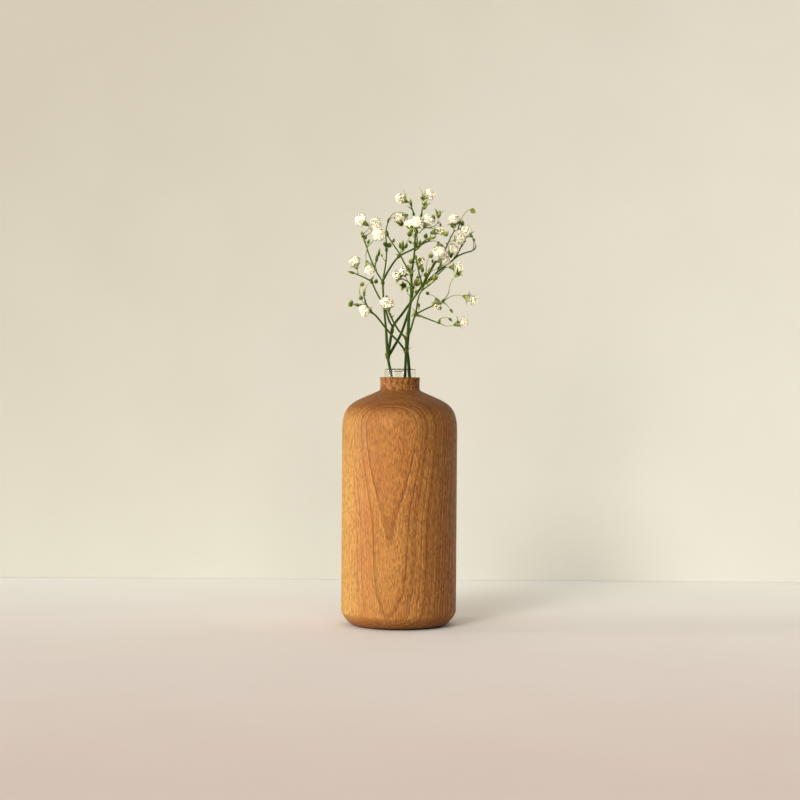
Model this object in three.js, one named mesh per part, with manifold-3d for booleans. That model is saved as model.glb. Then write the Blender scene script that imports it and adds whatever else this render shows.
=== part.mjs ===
// A turned beech bud vase with a glass tube in its bore and three sprigs of double baby's breath.
// Millimetres, +Z up, origin at the centre of the flat base. From the front, +X is right and +Y is back.
import * as THREE from 'three';
import { mergeVertices } from 'three/addons/utils/BufferGeometryUtils.js';
import Module from 'manifold-3d';

const wasm = await Module();
wasm.setup();

// Wooden body
const BODY_D = 60;
const BODY_H = 129; // base to the top of the neck
const BASE_FLAT_D = 47;
const BASE_ROUND_H = 7.5; // height of the rounding above the base
const BASE_ROUND_FULLNESS = 0.3; // handle length as a share of each side of the rounding
const NECK_D = 20.5;
const NECK_H = 5.6; // rim to the start of the fillet
const NECK_LIP_D = 20.9; // the rim flares a little
const NECK_LIP_H = 2.4; // height over which the flare dies out
const NECK_EDGE_R = 0.5; // rounding of the outer rim edge
const NECK_FILLET_R = 1.8;
const SHOULDER_SLOPE = THREE.MathUtils.degToRad(26); // below level, where the shoulder leaves the fillet
const SHOULDER_H = 20.5; // end of the fillet to the straight side
const SHOULDER_TOP_HANDLE = 13;
const SHOULDER_SIDE_HANDLE = 15;
const BORE_EDGE_CHAMFER = 0.5;

// Glass tube
const TUBE_D = 16;
const TUBE_L = 100;
const TUBE_WALL = 1;
const TUBE_PROUD = 4.4; // how far the rim stands above the neck
const BEAD_D = 16.5; // the fire-polished rim is a little thicker than the wall
const BEAD_H = 1.8;

// Clearances
const BORE_CLEARANCE = 0.5; // all round the tube
const SEAT_GAP = 0.3; // between pieces that touch

// Stems. Each class of shoot has its thickness, the sides of its section, the rings to a point of its
// route, and whether it ends in a swollen joint.
const STEM = { d: 1.5, sides: 6, rings: 2, jointed: true };
const BRANCH = { d: 1.1, sides: 5, rings: 1, jointed: true };
const TWIG = { d: 0.8, sides: 4, rings: 1, jointed: false };
const PEDICEL = { d: 0.55, sides: 3, rings: 1, jointed: false };
const NODE_SWELLING = 1.45; // a joint's width over its stem's
const KNEE_WIDTH = 1.05; // width over the stem where it bends at the neck
const STEM_FOOT_GAP = 0.4; // cut end to the glass

// Flowers
const CALYX_L = 2;
const CALYX_BASE_D = 1;
const CALYX_MOUTH_D = 2.3;
const CALYX_CHEEK = 0.85; // width at half height over the width of the mouth
const CALYX_SIDES = 5;
const BLOOM_HEIGHT_RATIO = 0.68; // height over width
const BLOOM_PETALS = 5; // petals in one whorl
const PETAL_RUFFLE = 0.13; // how far a petal stands out of its whorl, as a share of the radius
const BLOOM_WHORLS = [[0.36, 0.04], [0.8, 0.26], [1, 0.52], [0.82, 0.78], [0.42, 0.97]]; // width, height
const BLOOM_EYE_H = 0.93; // the dimple in the middle, as a share of the height
const STAR_D = 3.4;
const STAR_L = 1.9;
const STAR_TEETH = 5;
const STAR_NOTCH_D = 0.5; // how far in the rim lies between two teeth, as a share of their reach
const STAR_NOTCH_H = 0.6; // and how high, as a share of the length
const STAR_CUP_H = 0.45; // bottom of the cup inside
const BUD_LENGTH_RATIO = 1.3;
const BUD_SIT = 0.1; // how far the stalk goes into a bud, as a share of its length
const BRACT_D = 1;
const BRACT_THICKNESS_RATIO = 0.35;

// Facets
const BODY_SEGMENTS = 40;
const TUBE_SEGMENTS = 28;

// Worked out from the sizes above
const RIM_Z = BODY_H + TUBE_PROUD;
const BORE_R = TUBE_D / 2 + BORE_CLEARANCE;
const TUBE_Z = RIM_Z - TUBE_L;
const BORE_FLOOR_Z = TUBE_Z - SEAT_GAP;
const TUBE_INNER_R = TUBE_D / 2 - TUBE_WALL;

const UP = new THREE.Vector3(0, 0, 1);

// Materials
const beech = new THREE.MeshStandardMaterial({ color: 0xc08450, roughness: 0.5, metalness: 0 });
const glass = new THREE.MeshStandardMaterial({
  color: 0xe9efec, roughness: 0.05, metalness: 0, transparent: true, opacity: 0.35,
});
const stemGreen = new THREE.MeshStandardMaterial({ color: 0x4f7334, roughness: 0.6, metalness: 0 });
const petalWhite = new THREE.MeshStandardMaterial({ color: 0xf5f0e0, roughness: 0.8, metalness: 0 });

// Solids and meshes

// Leaves each corner once. Where a lathe or sphere meets its axis, triangles with no area go.
function weld(geometry) {
  geometry.deleteAttribute('normal');
  geometry.deleteAttribute('uv');
  const welded = mergeVertices(geometry);
  const corners = welded.index.array;
  const kept = [];
  for (let i = 0; i < corners.length; i += 3) {
    const [a, b, c] = corners.slice(i, i + 3);
    if (a !== b && b !== c && c !== a) kept.push(a, b, c);
  }
  welded.setIndex(kept);
  return welded;
}

function toSolid(welded) {
  return new wasm.Manifold(new wasm.Mesh({
    numProp: 3,
    vertProperties: welded.attributes.position.array,
    triVerts: new Uint32Array(welded.index.array),
  }));
}

function toGeometry(solid) {
  const mesh = solid.getMesh();
  const geometry = new THREE.BufferGeometry();
  geometry.setAttribute('position', new THREE.BufferAttribute(mesh.vertProperties, 3));
  geometry.setIndex(new THREE.BufferAttribute(mesh.triVerts, 1));
  geometry.computeVertexNormals();
  return geometry;
}

function namedMesh(name, geometry, material) {
  const mesh = new THREE.Mesh(geometry, material.clone());
  mesh.name = name;
  return mesh;
}

// A lathe turns about Y, so the turned piece is laid over to stand on Z.
function turned(profile, segments) {
  return weld(new THREE.LatheGeometry(profile, segments)).rotateX(Math.PI / 2);
}

// A profile's curves, each sampled into a number of steps, run on from one another.
function profilePoints(curves) {
  const points = [];
  for (const [curve, steps] of curves) {
    const sampled = curve.getPoints(steps);
    points.push(...(points.length ? sampled.slice(1) : sampled));
  }
  return points;
}

function line(r0, z0, r1, z1) {
  return [new THREE.LineCurve(new THREE.Vector2(r0, z0), new THREE.Vector2(r1, z1)), 1];
}

function arc(r, z, radius, startDegrees, endDegrees, steps) {
  const start = THREE.MathUtils.degToRad(startDegrees);
  const end = THREE.MathUtils.degToRad(endDegrees);
  return [new THREE.EllipseCurve(r, z, radius, radius, start, end, end < start), steps];
}

function bezier(p0, p1, p2, p3, steps) {
  const points = [p0, p1, p2, p3].map(([r, z]) => new THREE.Vector2(r, z));
  return [new THREE.CubicBezierCurve(...points), steps];
}

// Wooden body: turned outside, with a flat-bottomed bore drilled from the neck

function bodyProfile() {
  const side = BODY_D / 2;
  const foot = BASE_FLAT_D / 2;
  const neck = NECK_D / 2;
  const lip = NECK_LIP_D / 2;
  const filletZ = BODY_H - NECK_H;
  const filletEnd = {
    r: neck + NECK_FILLET_R * (1 - Math.sin(SHOULDER_SLOPE)),
    z: filletZ - NECK_FILLET_R * Math.cos(SHOULDER_SLOPE),
  };
  const filletStart = 270 - THREE.MathUtils.radToDeg(SHOULDER_SLOPE);
  const sideTop = filletEnd.z - SHOULDER_H;
  const inHandle = BASE_ROUND_FULLNESS * (side - foot);
  const upHandle = BASE_ROUND_FULLNESS * BASE_ROUND_H;
  return profilePoints([
    line(0, 0, foot, 0),
    bezier([foot, 0], [foot + inHandle, 0], [side, BASE_ROUND_H - upHandle], [side, BASE_ROUND_H], 5),
    line(side, BASE_ROUND_H, side, sideTop),
    bezier(
      [side, sideTop],
      [side, sideTop + SHOULDER_SIDE_HANDLE],
      [
        filletEnd.r + SHOULDER_TOP_HANDLE * Math.cos(SHOULDER_SLOPE),
        filletEnd.z - SHOULDER_TOP_HANDLE * Math.sin(SHOULDER_SLOPE),
      ],
      [filletEnd.r, filletEnd.z],
      9,
    ),
    arc(neck + NECK_FILLET_R, filletZ, NECK_FILLET_R, filletStart, 180, 3),
    line(neck, filletZ, neck, BODY_H - NECK_LIP_H),
    line(neck, BODY_H - NECK_LIP_H, lip, BODY_H - NECK_EDGE_R),
    arc(lip - NECK_EDGE_R, BODY_H - NECK_EDGE_R, NECK_EDGE_R, 0, 90, 2),
    line(lip - NECK_EDGE_R, BODY_H, BORE_R + BORE_EDGE_CHAMFER, BODY_H),
    line(BORE_R + BORE_EDGE_CHAMFER, BODY_H, BORE_R, BODY_H - BORE_EDGE_CHAMFER),
    line(BORE_R, BODY_H - BORE_EDGE_CHAMFER, BORE_R, BORE_FLOOR_Z),
    line(BORE_R, BORE_FLOOR_Z, 0, BORE_FLOOR_Z),
  ]);
}

function woodenBody() {
  return namedMesh('wooden_body', turned(bodyProfile(), BODY_SEGMENTS), beech);
}

// Glass tube: round bottom, straight wall and a beaded rim, one thickness throughout

function tubeProfile() {
  const outer = TUBE_D / 2;
  const inner = TUBE_INNER_R;
  const beadOut = BEAD_D / 2;
  const beadMid = TUBE_L - BEAD_H / 2;
  const crown = (outer + inner) / 2;
  return profilePoints([
    arc(0, outer, outer, -90, 0, 5),
    line(outer, outer, outer, TUBE_L - BEAD_H),
    bezier([outer, TUBE_L - BEAD_H], [beadOut, beadMid], [beadOut, TUBE_L], [crown, TUBE_L], 4),
    bezier([crown, TUBE_L], [inner, TUBE_L], [inner, TUBE_L], [inner, beadMid], 2),
    line(inner, beadMid, inner, outer),
    arc(0, outer, inner, 0, -90, 5),
  ]);
}

function glassTube() {
  const tube = namedMesh('glass_tube', turned(tubeProfile(), TUBE_SEGMENTS), glass);
  tube.position.z = TUBE_Z;
  return tube;
}

// Sprigs. Points are right, back and up from the centre of the tube's rim.

// What a shoot can end in
const bloom = (width) => ({ kind: 'bloom', width });
const bud = (width) => ({ kind: 'bud', width });
const star = () => ({ kind: 'star' });

const shoot = (size, route, tip) => ({ size, route, tip });
const bract = (at, along, length) => ({ at, along, length });

// The stem's cut end leans on the round bottom of the tube. From there to the neck the stem is straight.
function stemFoot([x, y]) {
  const reach = Math.hypot(x, y) + STEM.d / 2;
  const depth = Math.sqrt((TUBE_INNER_R - STEM_FOOT_GAP) ** 2 - reach ** 2);
  return [x, y, TUBE_D / 2 - depth - TUBE_L];
}

const LEFT_SPRIG = {
  name: 'left_sprig',
  foot: [-1, 2],
  main: [
    [-4.5, 2, -4], [-5.4, 2.2, 0.5], [-6.4, 3.6, 6], [-7.5, 6.5, 20.5], [-8.5, 8.5, 30.5], [-9.5, 11, 46],
  ],
  shoots: [
    shoot(BRANCH, [[-9.5, 11, 46], [-13, 12.5, 51.5], [-16.5, 14, 59.5], [-18, 15, 64], [-20.5, 16.5, 71]]),
    shoot(PEDICEL, [[-20.5, 16.5, 71], [-19.7, 16.2, 73], [-20, 15.6, 75]], bloom(7.4)),
    shoot(PEDICEL, [[-20.3, 16.4, 70.5], [-18.8, 18.2, 71.8], [-17.3, 19.4, 73.6]], bloom(7.4)),
    shoot(PEDICEL, [[-18, 15, 64], [-16.4, 13, 65.6], [-14.6, 11.4, 67.2]], bloom(7.6)),
    shoot(PEDICEL, [[-18.6, 15.3, 66], [-19.8, 13.5, 67.5], [-20, 12.6, 69]], bud(1.8)),
    shoot(TWIG, [[-13, 12.5, 51.5], [-13.5, 15, 54.5], [-12.7, 16.6, 60]], bud(2.2)),
    shoot(PEDICEL, [[-13.4, 15.3, 56], [-11.5, 17.5, 60.5], [-11, 18.5, 63]], bud(1.8)),
    shoot(BRANCH, [[-9.5, 11, 46], [-8, 14, 55], [-7.5, 16.5, 64], [-8, 18.5, 73], [-6.5, 19.5, 79.5]]),
    shoot(PEDICEL, [[-7.6, 16.4, 63], [-9, 15.5, 65], [-9.4, 15, 67]], bud(2)),
    shoot(PEDICEL, [[-7.6, 17, 66], [-6, 18.4, 68], [-5.7, 19, 70]], bud(2)),
    shoot(PEDICEL, [[-6.5, 19.5, 79.5], [-4.5, 20, 82.5], [-2, 20.4, 83.2], [1.6, 21, 82.4]], bud(2)),
    shoot(PEDICEL, [[-6.6, 19.3, 79], [-5.6, 17.9, 80.4], [-4.4, 17.2, 80.6]], bloom(6.6)),
    shoot(PEDICEL, [[-8, 18.3, 72.5], [-6, 16.5, 75], [-4, 15.6, 77]], star()),
    shoot(BRANCH, [[-9.5, 11, 46], [-6, 10, 52.5], [-1, 9, 59], [5.5, 8.5, 62.5], [9, 8.5, 64.5]]),
    shoot(PEDICEL, [[-1.4, 9.1, 58.5], [-2, 8, 62], [-1.2, 7.4, 65.4]], bud(2.2)),
    shoot(PEDICEL, [[-2, 8, 62], [-3.4, 7.6, 63.4], [-3.9, 7.4, 65]], bud(1.8)),
    shoot(TWIG, [[8.8, 8.5, 64.4], [12.6, 8.6, 66.3], [16, 8.2, 68.3]]),
    shoot(PEDICEL, [[16, 8.2, 68.3], [17.4, 7.6, 69.6]], bloom(6.4)),
    shoot(PEDICEL, [[8.6, 8.6, 64.2], [8.9, 10.6, 67.5], [8, 11.6, 70]], bud(2)),
    shoot(BRANCH, [
      [-6.4, 3.6, 6], [-4.7, 6, 18], [-4, 7.5, 22], [1, 9.5, 29], [4.5, 10.8, 34], [11.5, 13, 44],
    ]),
    shoot(TWIG, [[-4, 7.5, 22], [-6, 10, 25.5], [-8, 12.3, 31.5], [-13, 16.5, 41], [-15.5, 18.5, 46.5]]),
    shoot(PEDICEL, [[-15.5, 18.5, 46.5], [-20, 20.2, 49], [-23.5, 21, 50.5], [-26, 22, 51.8]], bud(1.9)),
    shoot(PEDICEL, [[-23.5, 21, 50.5], [-23.4, 21.8, 52.2], [-23.6, 22.3, 54]], bloom(6.6)),
    shoot(PEDICEL, [[-15.5, 18.5, 46.5], [-14, 20.4, 46.7], [-13, 21.8, 47.2]], bud(1.9)),
    shoot(PEDICEL, [[-15.4, 18.4, 46], [-15.7, 18.8, 48.2], [-16, 18.8, 49.8]], bloom(7.2)),
    shoot(TWIG, [
      [-6.4, 3.6, 6], [-3, 6.4, 12], [0, 8.4, 17.5], [3.5, 12, 27.5], [5.5, 15.5, 35], [7, 18.5, 44.5],
    ]),
    shoot(PEDICEL, [[7, 18.5, 44.5], [9, 20, 50], [10, 20.4, 53]], bloom(6.6)),
    shoot(PEDICEL, [[5.5, 15.5, 35], [3.5, 18.5, 38], [2.5, 20.5, 42]], bud(2)),
    shoot(TWIG, [[11.5, 13, 44], [9.8, 10, 51], [8, 8, 58]], bud(2)),
    shoot(TWIG, [[11.5, 13, 44], [15.5, 12, 51.5], [18.6, 10, 57]]),
    shoot(PEDICEL, [[18.6, 10, 57], [19.2, 8.8, 58.6]], bloom(8.2)),
    shoot(PEDICEL, [[17.2, 11, 54.5], [18.2, 11.4, 54.4], [19.4, 11.7, 55.1]], bloom(6.6)),
    shoot(PEDICEL, [[15.5, 12, 51.5], [17.4, 9.6, 51.8], [18.8, 8, 52.4]], bud(1.8)),
    shoot(TWIG, [[11.5, 13, 44], [19, 15, 49.5], [23.5, 14, 53.6]]),
    shoot(PEDICEL, [[23.5, 14, 53.6], [25.4, 12.8, 53.9]], bloom(6.6)),
    shoot(PEDICEL, [[15.3, 14.1, 46.9], [16.2, 12, 47.2], [16.8, 10.6, 48]], bud(1.8)),
    shoot(BRANCH, [[11.5, 13, 44], [19.5, 17, 51.5], [27, 20, 57.5], [29.5, 21, 60]]),
    shoot(TWIG, [[29.5, 21, 60], [32, 20.4, 65], [33.2, 19.4, 68]]),
    shoot(PEDICEL, [[33.2, 19.4, 68], [33.5, 18.8, 69.4]], bloom(7)),
    shoot(PEDICEL, [[32, 20.4, 65], [35, 20.6, 67.2], [36.4, 20.6, 69]], star()),
    shoot(TWIG, [[29.5, 21, 60], [34, 22, 62], [38.5, 23, 63.5], [40, 23.5, 65]]),
    shoot(PEDICEL, [[40, 23.5, 65], [39.4, 23.8, 67.5], [38.6, 24, 69]], bud(2)),
    shoot(TWIG, [[19.5, 17, 51.5], [22.4, 19.4, 59], [24.6, 21, 66], [28, 22, 73]]),
    shoot(PEDICEL, [[28, 22, 73], [28.2, 20.8, 74.6], [28.2, 19.8, 75.8]], bloom(6.8)),
    shoot(PEDICEL, [[26.6, 21.7, 70.5], [30.5, 23.6, 74.4], [32, 24.8, 77]], bud(2.2)),
    shoot(PEDICEL, [[30.5, 23.6, 74.4], [33.2, 24.6, 82], [36, 25, 86], [38.2, 25.2, 85.6]], bud(2.2)),
    shoot(PEDICEL, [[25.2, 21.2, 67.6], [27.2, 17.6, 68], [28.4, 14.8, 68.6]], bloom(6.6)),
    shoot(PEDICEL, [[22.6, 19.5, 59.5], [24.2, 18.4, 60], [25.2, 17.4, 61.2]], bloom(6.2)),
    shoot(PEDICEL, [[22.2, 19.2, 58], [24.6, 22, 59.6], [25.6, 23.4, 61]], bud(1.9)),
  ],
  bracts: [
    bract([-6.4, 3.6, 6], [-0.7, 0.2, 1], 3),
    bract([-4, 7.5, 22], [0.75, -0.4, 1], 4),
    bract([-4, 7.5, 22], [-0.9, 0.1, 1], 3.5),
    bract([-9.5, 11, 46], [0.3, -1, 1.2], 3.5),
    bract([-7.5, 16.5, 64], [-0.6, -0.8, 1], 3.5),
    bract([11.5, 13, 44], [1, -0.8, 0.9], 4),
    bract([29.5, 21, 60], [0.4, -1, 1], 3),
    bract([-15.5, 18.5, 46.5], [-0.4, 1, 0.8], 3),
  ],
};

const CENTRE_SPRIG = {
  name: 'centre_sprig',
  foot: [2.4, -3.8],
  main: [[2.5, -3.8, -4], [2.8, -4.2, 3], [2.9, -5, 9]],
  shoots: [
    shoot(BRANCH, [
      [2.9, -5, 9], [-1, -6.8, 14], [-4.5, -8.2, 17.5], [-8, -10, 21.5], [-12.5, -12.5, 27], [-15, -14, 29],
    ]),
    shoot(TWIG, [[-15, -14, 29], [-18, -15, 34], [-19.5, -16, 39.5]]),
    shoot(PEDICEL, [[-19.5, -16, 39.5], [-19.6, -16.4, 41.5]], bud(1.9)),
    shoot(PEDICEL, [[-18, -15, 34], [-20.4, -14, 37], [-20, -13.4, 40]], bud(1.8)),
    shoot(PEDICEL, [[-15, -14, 29], [-16.4, -15.6, 29.8], [-17.2, -17, 29.8]], bloom(7)),
    shoot(PEDICEL, [[-17.4, -14.8, 33], [-21, -16.6, 33.8], [-25, -18, 34]], bud(2.4)),
    shoot(PEDICEL, [[-21, -16.6, 33.8], [-22.4, -15.2, 32.6], [-23.6, -14.4, 32.8]], bud(1.9)),
    shoot(BRANCH, [[2.9, -5, 9], [2.7, -6.4, 15.5], [-1, -8, 20], [-4.5, -10.5, 26], [-5.6, -11.6, 28.6]]),
    shoot(PEDICEL, [[-5.6, -11.6, 28.6], [-5.9, -12.3, 29.8]], bloom(7.8)),
    shoot(PEDICEL, [[-4.3, -10.3, 25.6], [-6.4, -8.8, 30], [-7.2, -8.6, 35.6]], bud(1.8)),
  ],
  bracts: [
    bract([2.9, -5, 9], [-1, -0.4, 0.7], 3.5),
    bract([2.7, -6.4, 15.5], [0.4, -1, 1], 3),
    bract([-15, -14, 29], [-0.2, -0.8, 1.2], 3),
    bract([-4.5, -10.5, 26], [0.6, 0.6, 1], 3),
  ],
};

const RIGHT_SPRIG = {
  name: 'right_sprig',
  foot: [2.5, 0.5],
  main: [
    [5, 0.5, -4], [4.2, 0.5, 5], [3.6, 0, 10], [4, -0.5, 17],
    [4.5, -0.5, 28.5], [5.5, -1, 37.5], [5.6, -1, 49.5],
  ],
  shoots: [
    shoot(BRANCH, [[5.6, -1, 49.5], [7, -2, 59.5], [7.5, -4, 70.5]]),
    shoot(TWIG, [[7.5, -4, 70.5], [6.9, -3.6, 77], [6.2, -3, 81.5], [4.8, -1.6, 86]]),
    shoot(PEDICEL, [[4.8, -1.6, 86], [3.9, -1.25, 86.3], [3, -0.9, 87]], bloom(6.4)),
    shoot(PEDICEL, [[5.6, -2.4, 83.6], [6.4, -1.8, 86], [5.9, -1.2, 88.6]], star()),
    shoot(TWIG, [[7.5, -4, 70.5], [9, -3, 75], [10.5, -2, 80], [11.2, -1.6, 84.5]]),
    shoot(PEDICEL, [[11.2, -1.6, 84.5], [12, -2.2, 87]], bloom(6.4)),
    shoot(PEDICEL, [[11.2, -1.6, 84.5], [10.6, -0.6, 89], [9.6, 0.2, 93]], bud(1.8)),
    shoot(PEDICEL, [[10.8, -1.8, 82], [12.6, -0.8, 83.8], [13.4, 0, 86]], bud(1.9)),
    shoot(PEDICEL, [[7.3, -3.4, 68], [6.2, -1, 69.4], [5.6, 0, 71.2]], bloom(6.8)),
    shoot(PEDICEL, [[7.5, -4, 70.5], [7.9, -6, 72.6]], bloom(7.6)),
    shoot(PEDICEL, [[7.4, -3.8, 69.5], [10.4, -6, 71.4], [12, -6.8, 73.4]], bloom(7)),
    shoot(PEDICEL, [[9.7, -5.5, 71], [13.4, -3.6, 74], [15.4, -3, 76.6]], bud(2.2)),
    shoot(PEDICEL, [[12.4, -4.2, 73.2], [16, -4.4, 75.6], [18.6, -5.4, 79]], star()),
    shoot(PEDICEL, [[7.1, -2.4, 61.5], [11.4, -4.4, 65.6], [14, -5.2, 67.2]], bud(1.9)),
    shoot(PEDICEL, [
      [5.6, -1, 49.5], [2.4, -1.2, 54.4], [-1, -1, 60], [-4, -1, 65], [-6.6, -1, 69],
    ], bud(1.9)),
    shoot(TWIG, [[5.6, -1, 41], [4.2, -1, 45], [1.8, -0.6, 46.4]]),
    shoot(PEDICEL, [[1.8, -0.6, 46.4], [0.7, -1, 46.8]], bloom(6)),
    shoot(PEDICEL, [[4, -1, 45.2], [3, 0.3, 47.4]], bloom(5.8)),
    shoot(PEDICEL, [[5.5, -1, 40.6], [7.2, -2.4, 42.4], [7.8, -3, 43.8]], bud(2.4)),
    shoot(PEDICEL, [[5.6, -1, 43], [7.6, -0.8, 45.4], [8.4, -1.2, 47]], bud(2)),
    shoot(PEDICEL, [[5.7, -1.1, 50.4], [7.4, -2.6, 52.2], [7.9, -3, 53.8]], bud(2.2)),
    shoot(PEDICEL, [[4.6, -1, 44.2], [2.8, -1.2, 43], [1.8, -1, 41.6]], star()),
    shoot(BRANCH, [[4, -0.5, 17], [5.4, -1.2, 20.5], [7, -2, 26], [8, -2.5, 28.5]]),
    shoot(TWIG, [[8, -2.5, 28.5], [12.6, -4.4, 30.8], [17.5, -6, 33], [22, -8, 35]]),
    shoot(PEDICEL, [[22, -8, 35], [26, -8.8, 37.6], [29.4, -9.2, 38.2], [32, -9.5, 37.4]], bloom(6.8)),
    shoot(PEDICEL, [[22, -8, 35], [24.5, -10, 38.5], [26.2, -11.8, 45], [28.6, -12.8, 48]], bud(2.2)),
    shoot(PEDICEL, [[22, -8, 35], [24.5, -10.8, 33], [26.4, -12.8, 30]], bud(1.9)),
    shoot(PEDICEL, [[17.5, -6, 33], [17.2, -8, 35], [17.8, -9.8, 34.7]], bloom(6.2)),
    shoot(PEDICEL, [[19, -6.6, 33.7], [19.2, -4.6, 36.2], [17, -3.6, 37.2], [14.4, -3, 38.6]], bud(1.9)),
    shoot(TWIG, [[8, -2.5, 28.5], [11.4, -5.8, 27], [15, -9, 25.5], [20, -13, 23.5]]),
    shoot(PEDICEL, [[20, -13, 23.5], [24, -15.6, 22], [27.8, -17, 22.2]], bloom(6.6)),
    shoot(PEDICEL, [[20, -13, 23.5], [20.6, -16, 25.4], [24.6, -18.6, 25.4]], bud(1.9)),
    shoot(TWIG, [[8, -2.5, 28.5], [9, -6, 35.5], [10.4, -8.4, 39.5], [16, -11.8, 44]]),
    shoot(PEDICEL, [[16, -11.8, 44], [17, -12.8, 46]], bud(2.4)),
    shoot(PEDICEL, [[11.4, -9, 40.4], [10.6, -11.6, 42.4], [9.6, -13.6, 45]], bud(2)),
    shoot(PEDICEL, [[14, -10.6, 42.6], [15.4, -10, 44.4], [15.6, -9.6, 46]], bud(2)),
  ],
  bracts: [
    bract([3.6, 0, 10], [1, -0.3, 0.6], 3.5),
    bract([4, -0.5, 17], [-0.6, -0.6, 1], 3),
    bract([8, -2.5, 28.5], [0.9, -0.6, -0.9], 4),
    bract([8, -2.5, 28.5], [0.2, 0.9, 1], 3),
    bract([5.6, -1, 49.5], [0.9, -0.6, 1], 4),
    bract([22, -8, 35], [0.2, 1, 1], 3),
    bract([20, -13, 23.5], [0, 0.8, 1], 3),
    bract([7.5, -4, 70.5], [-0.6, 0.6, 1], 3.5),
  ],
};

const vector = ([x, y, z]) => new THREE.Vector3(x, y, z);

function regularSection(diameter, sides) {
  const section = new THREE.Shape();
  for (let side = 0; side < sides; side += 1) {
    const angle = (2 * Math.PI * side) / sides;
    const corner = new THREE.Vector2(Math.cos(angle), Math.sin(angle)).multiplyScalar(diameter / 2);
    if (side === 0) section.moveTo(corner.x, corner.y);
    else section.lineTo(corner.x, corner.y);
  }
  section.closePath();
  return section;
}

function routeCurve(route) {
  const points = route.map(vector);
  return points.length === 2 ? new THREE.LineCurve3(...points) : new THREE.CatmullRomCurve3(points);
}

function shootSolid({ size, route }) {
  return toSolid(weld(new THREE.ExtrudeGeometry(regularSection(size.d, size.sides), {
    steps: size.rings * (route.length - 1),
    bevelEnabled: false,
    extrudePath: routeCurve(route),
  })));
}

// Turns a geometry that stands on the origin along +Z to stand at a point along a direction.
function standing(geometry, at, direction) {
  return geometry
    .applyQuaternion(new THREE.Quaternion().setFromUnitVectors(UP, direction))
    .translate(at.x, at.y, at.z);
}

function swollenNode(point, size) {
  const radius = (size.d * NODE_SWELLING) / 2;
  return toSolid(weld(new THREE.IcosahedronGeometry(radius, 0)).translate(...point));
}

function calyxGeometry() {
  const base = CALYX_BASE_D / 2;
  const mouth = CALYX_MOUTH_D / 2;
  const cheek = mouth * CALYX_CHEEK;
  const profile = [[0, -base], [base, 0], [cheek, CALYX_L / 2], [mouth, CALYX_L], [0, CALYX_L]];
  return turned(profile.map(([r, z]) => new THREE.Vector2(r, z)), CALYX_SIDES);
}

function budGeometry(width) {
  const length = width * BUD_LENGTH_RATIO;
  return weld(new THREE.IcosahedronGeometry(0.5, 0))
    .scale(width, width, length)
    .translate(0, 0, length * (0.5 - BUD_SIT));
}

// An open calyx whose flower has gone. Every second corner of its rim is drawn in and down between the teeth.
function starGeometry() {
  const base = CALYX_BASE_D / 2;
  const rim = STAR_D / 2;
  const profile = [[0, -base], [base, 0], [rim * 0.6, STAR_L / 2], [rim, STAR_L], [0, STAR_L * STAR_CUP_H]];
  const geometry = turned(profile.map(([r, z]) => new THREE.Vector2(r, z)), 2 * STAR_TEETH);
  const position = geometry.attributes.position;
  for (let i = 0; i < position.count; i += 1) {
    const x = position.getX(i);
    const y = position.getY(i);
    const corner = Math.round((Math.atan2(y, x) * STAR_TEETH) / Math.PI);
    if (Math.hypot(x, y) > rim * 0.9 && corner % 2 !== 0) {
      position.setXYZ(i, x * STAR_NOTCH_D, y * STAR_NOTCH_D, STAR_L * STAR_NOTCH_H);
    }
  }
  return geometry;
}

function bractGeometry(length) {
  return weld(new THREE.ConeGeometry(BRACT_D / 2, length, 4))
    .rotateX(Math.PI / 2)
    .scale(1, BRACT_THICKNESS_RATIO, 1)
    .translate(0, 0, length / 2);
}

// A double flower: whorls of petals, each turned half a petal from the one below, closing over in a dome.
function bloomGeometry(width) {
  const height = width * BLOOM_HEIGHT_RATIO;
  const profile = [[0, 0], ...BLOOM_WHORLS, [0, BLOOM_EYE_H]];
  const points = profile.map(([r, z]) => new THREE.Vector2((r * width) / 2, z * height));
  const geometry = turned(points, 2 * BLOOM_PETALS);
  const position = geometry.attributes.position;
  for (let i = 0; i < position.count; i += 1) {
    const x = position.getX(i);
    const y = position.getY(i);
    const whorl = points.findIndex((point) => Math.abs(point.y - position.getZ(i)) < 1e-4);
    const wave = Math.cos(BLOOM_PETALS * Math.atan2(y, x) + whorl * Math.PI);
    const swell = 1 + PETAL_RUFFLE * wave;
    position.setXYZ(i, x * swell, y * swell, position.getZ(i));
  }
  return geometry;
}

function tipSolid(tip, at, direction) {
  const geometry = {
    bloom: () => calyxGeometry(),
    bud: () => budGeometry(tip.width),
    star: () => starGeometry(),
  }[tip.kind]();
  return toSolid(standing(geometry, at, direction));
}

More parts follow.
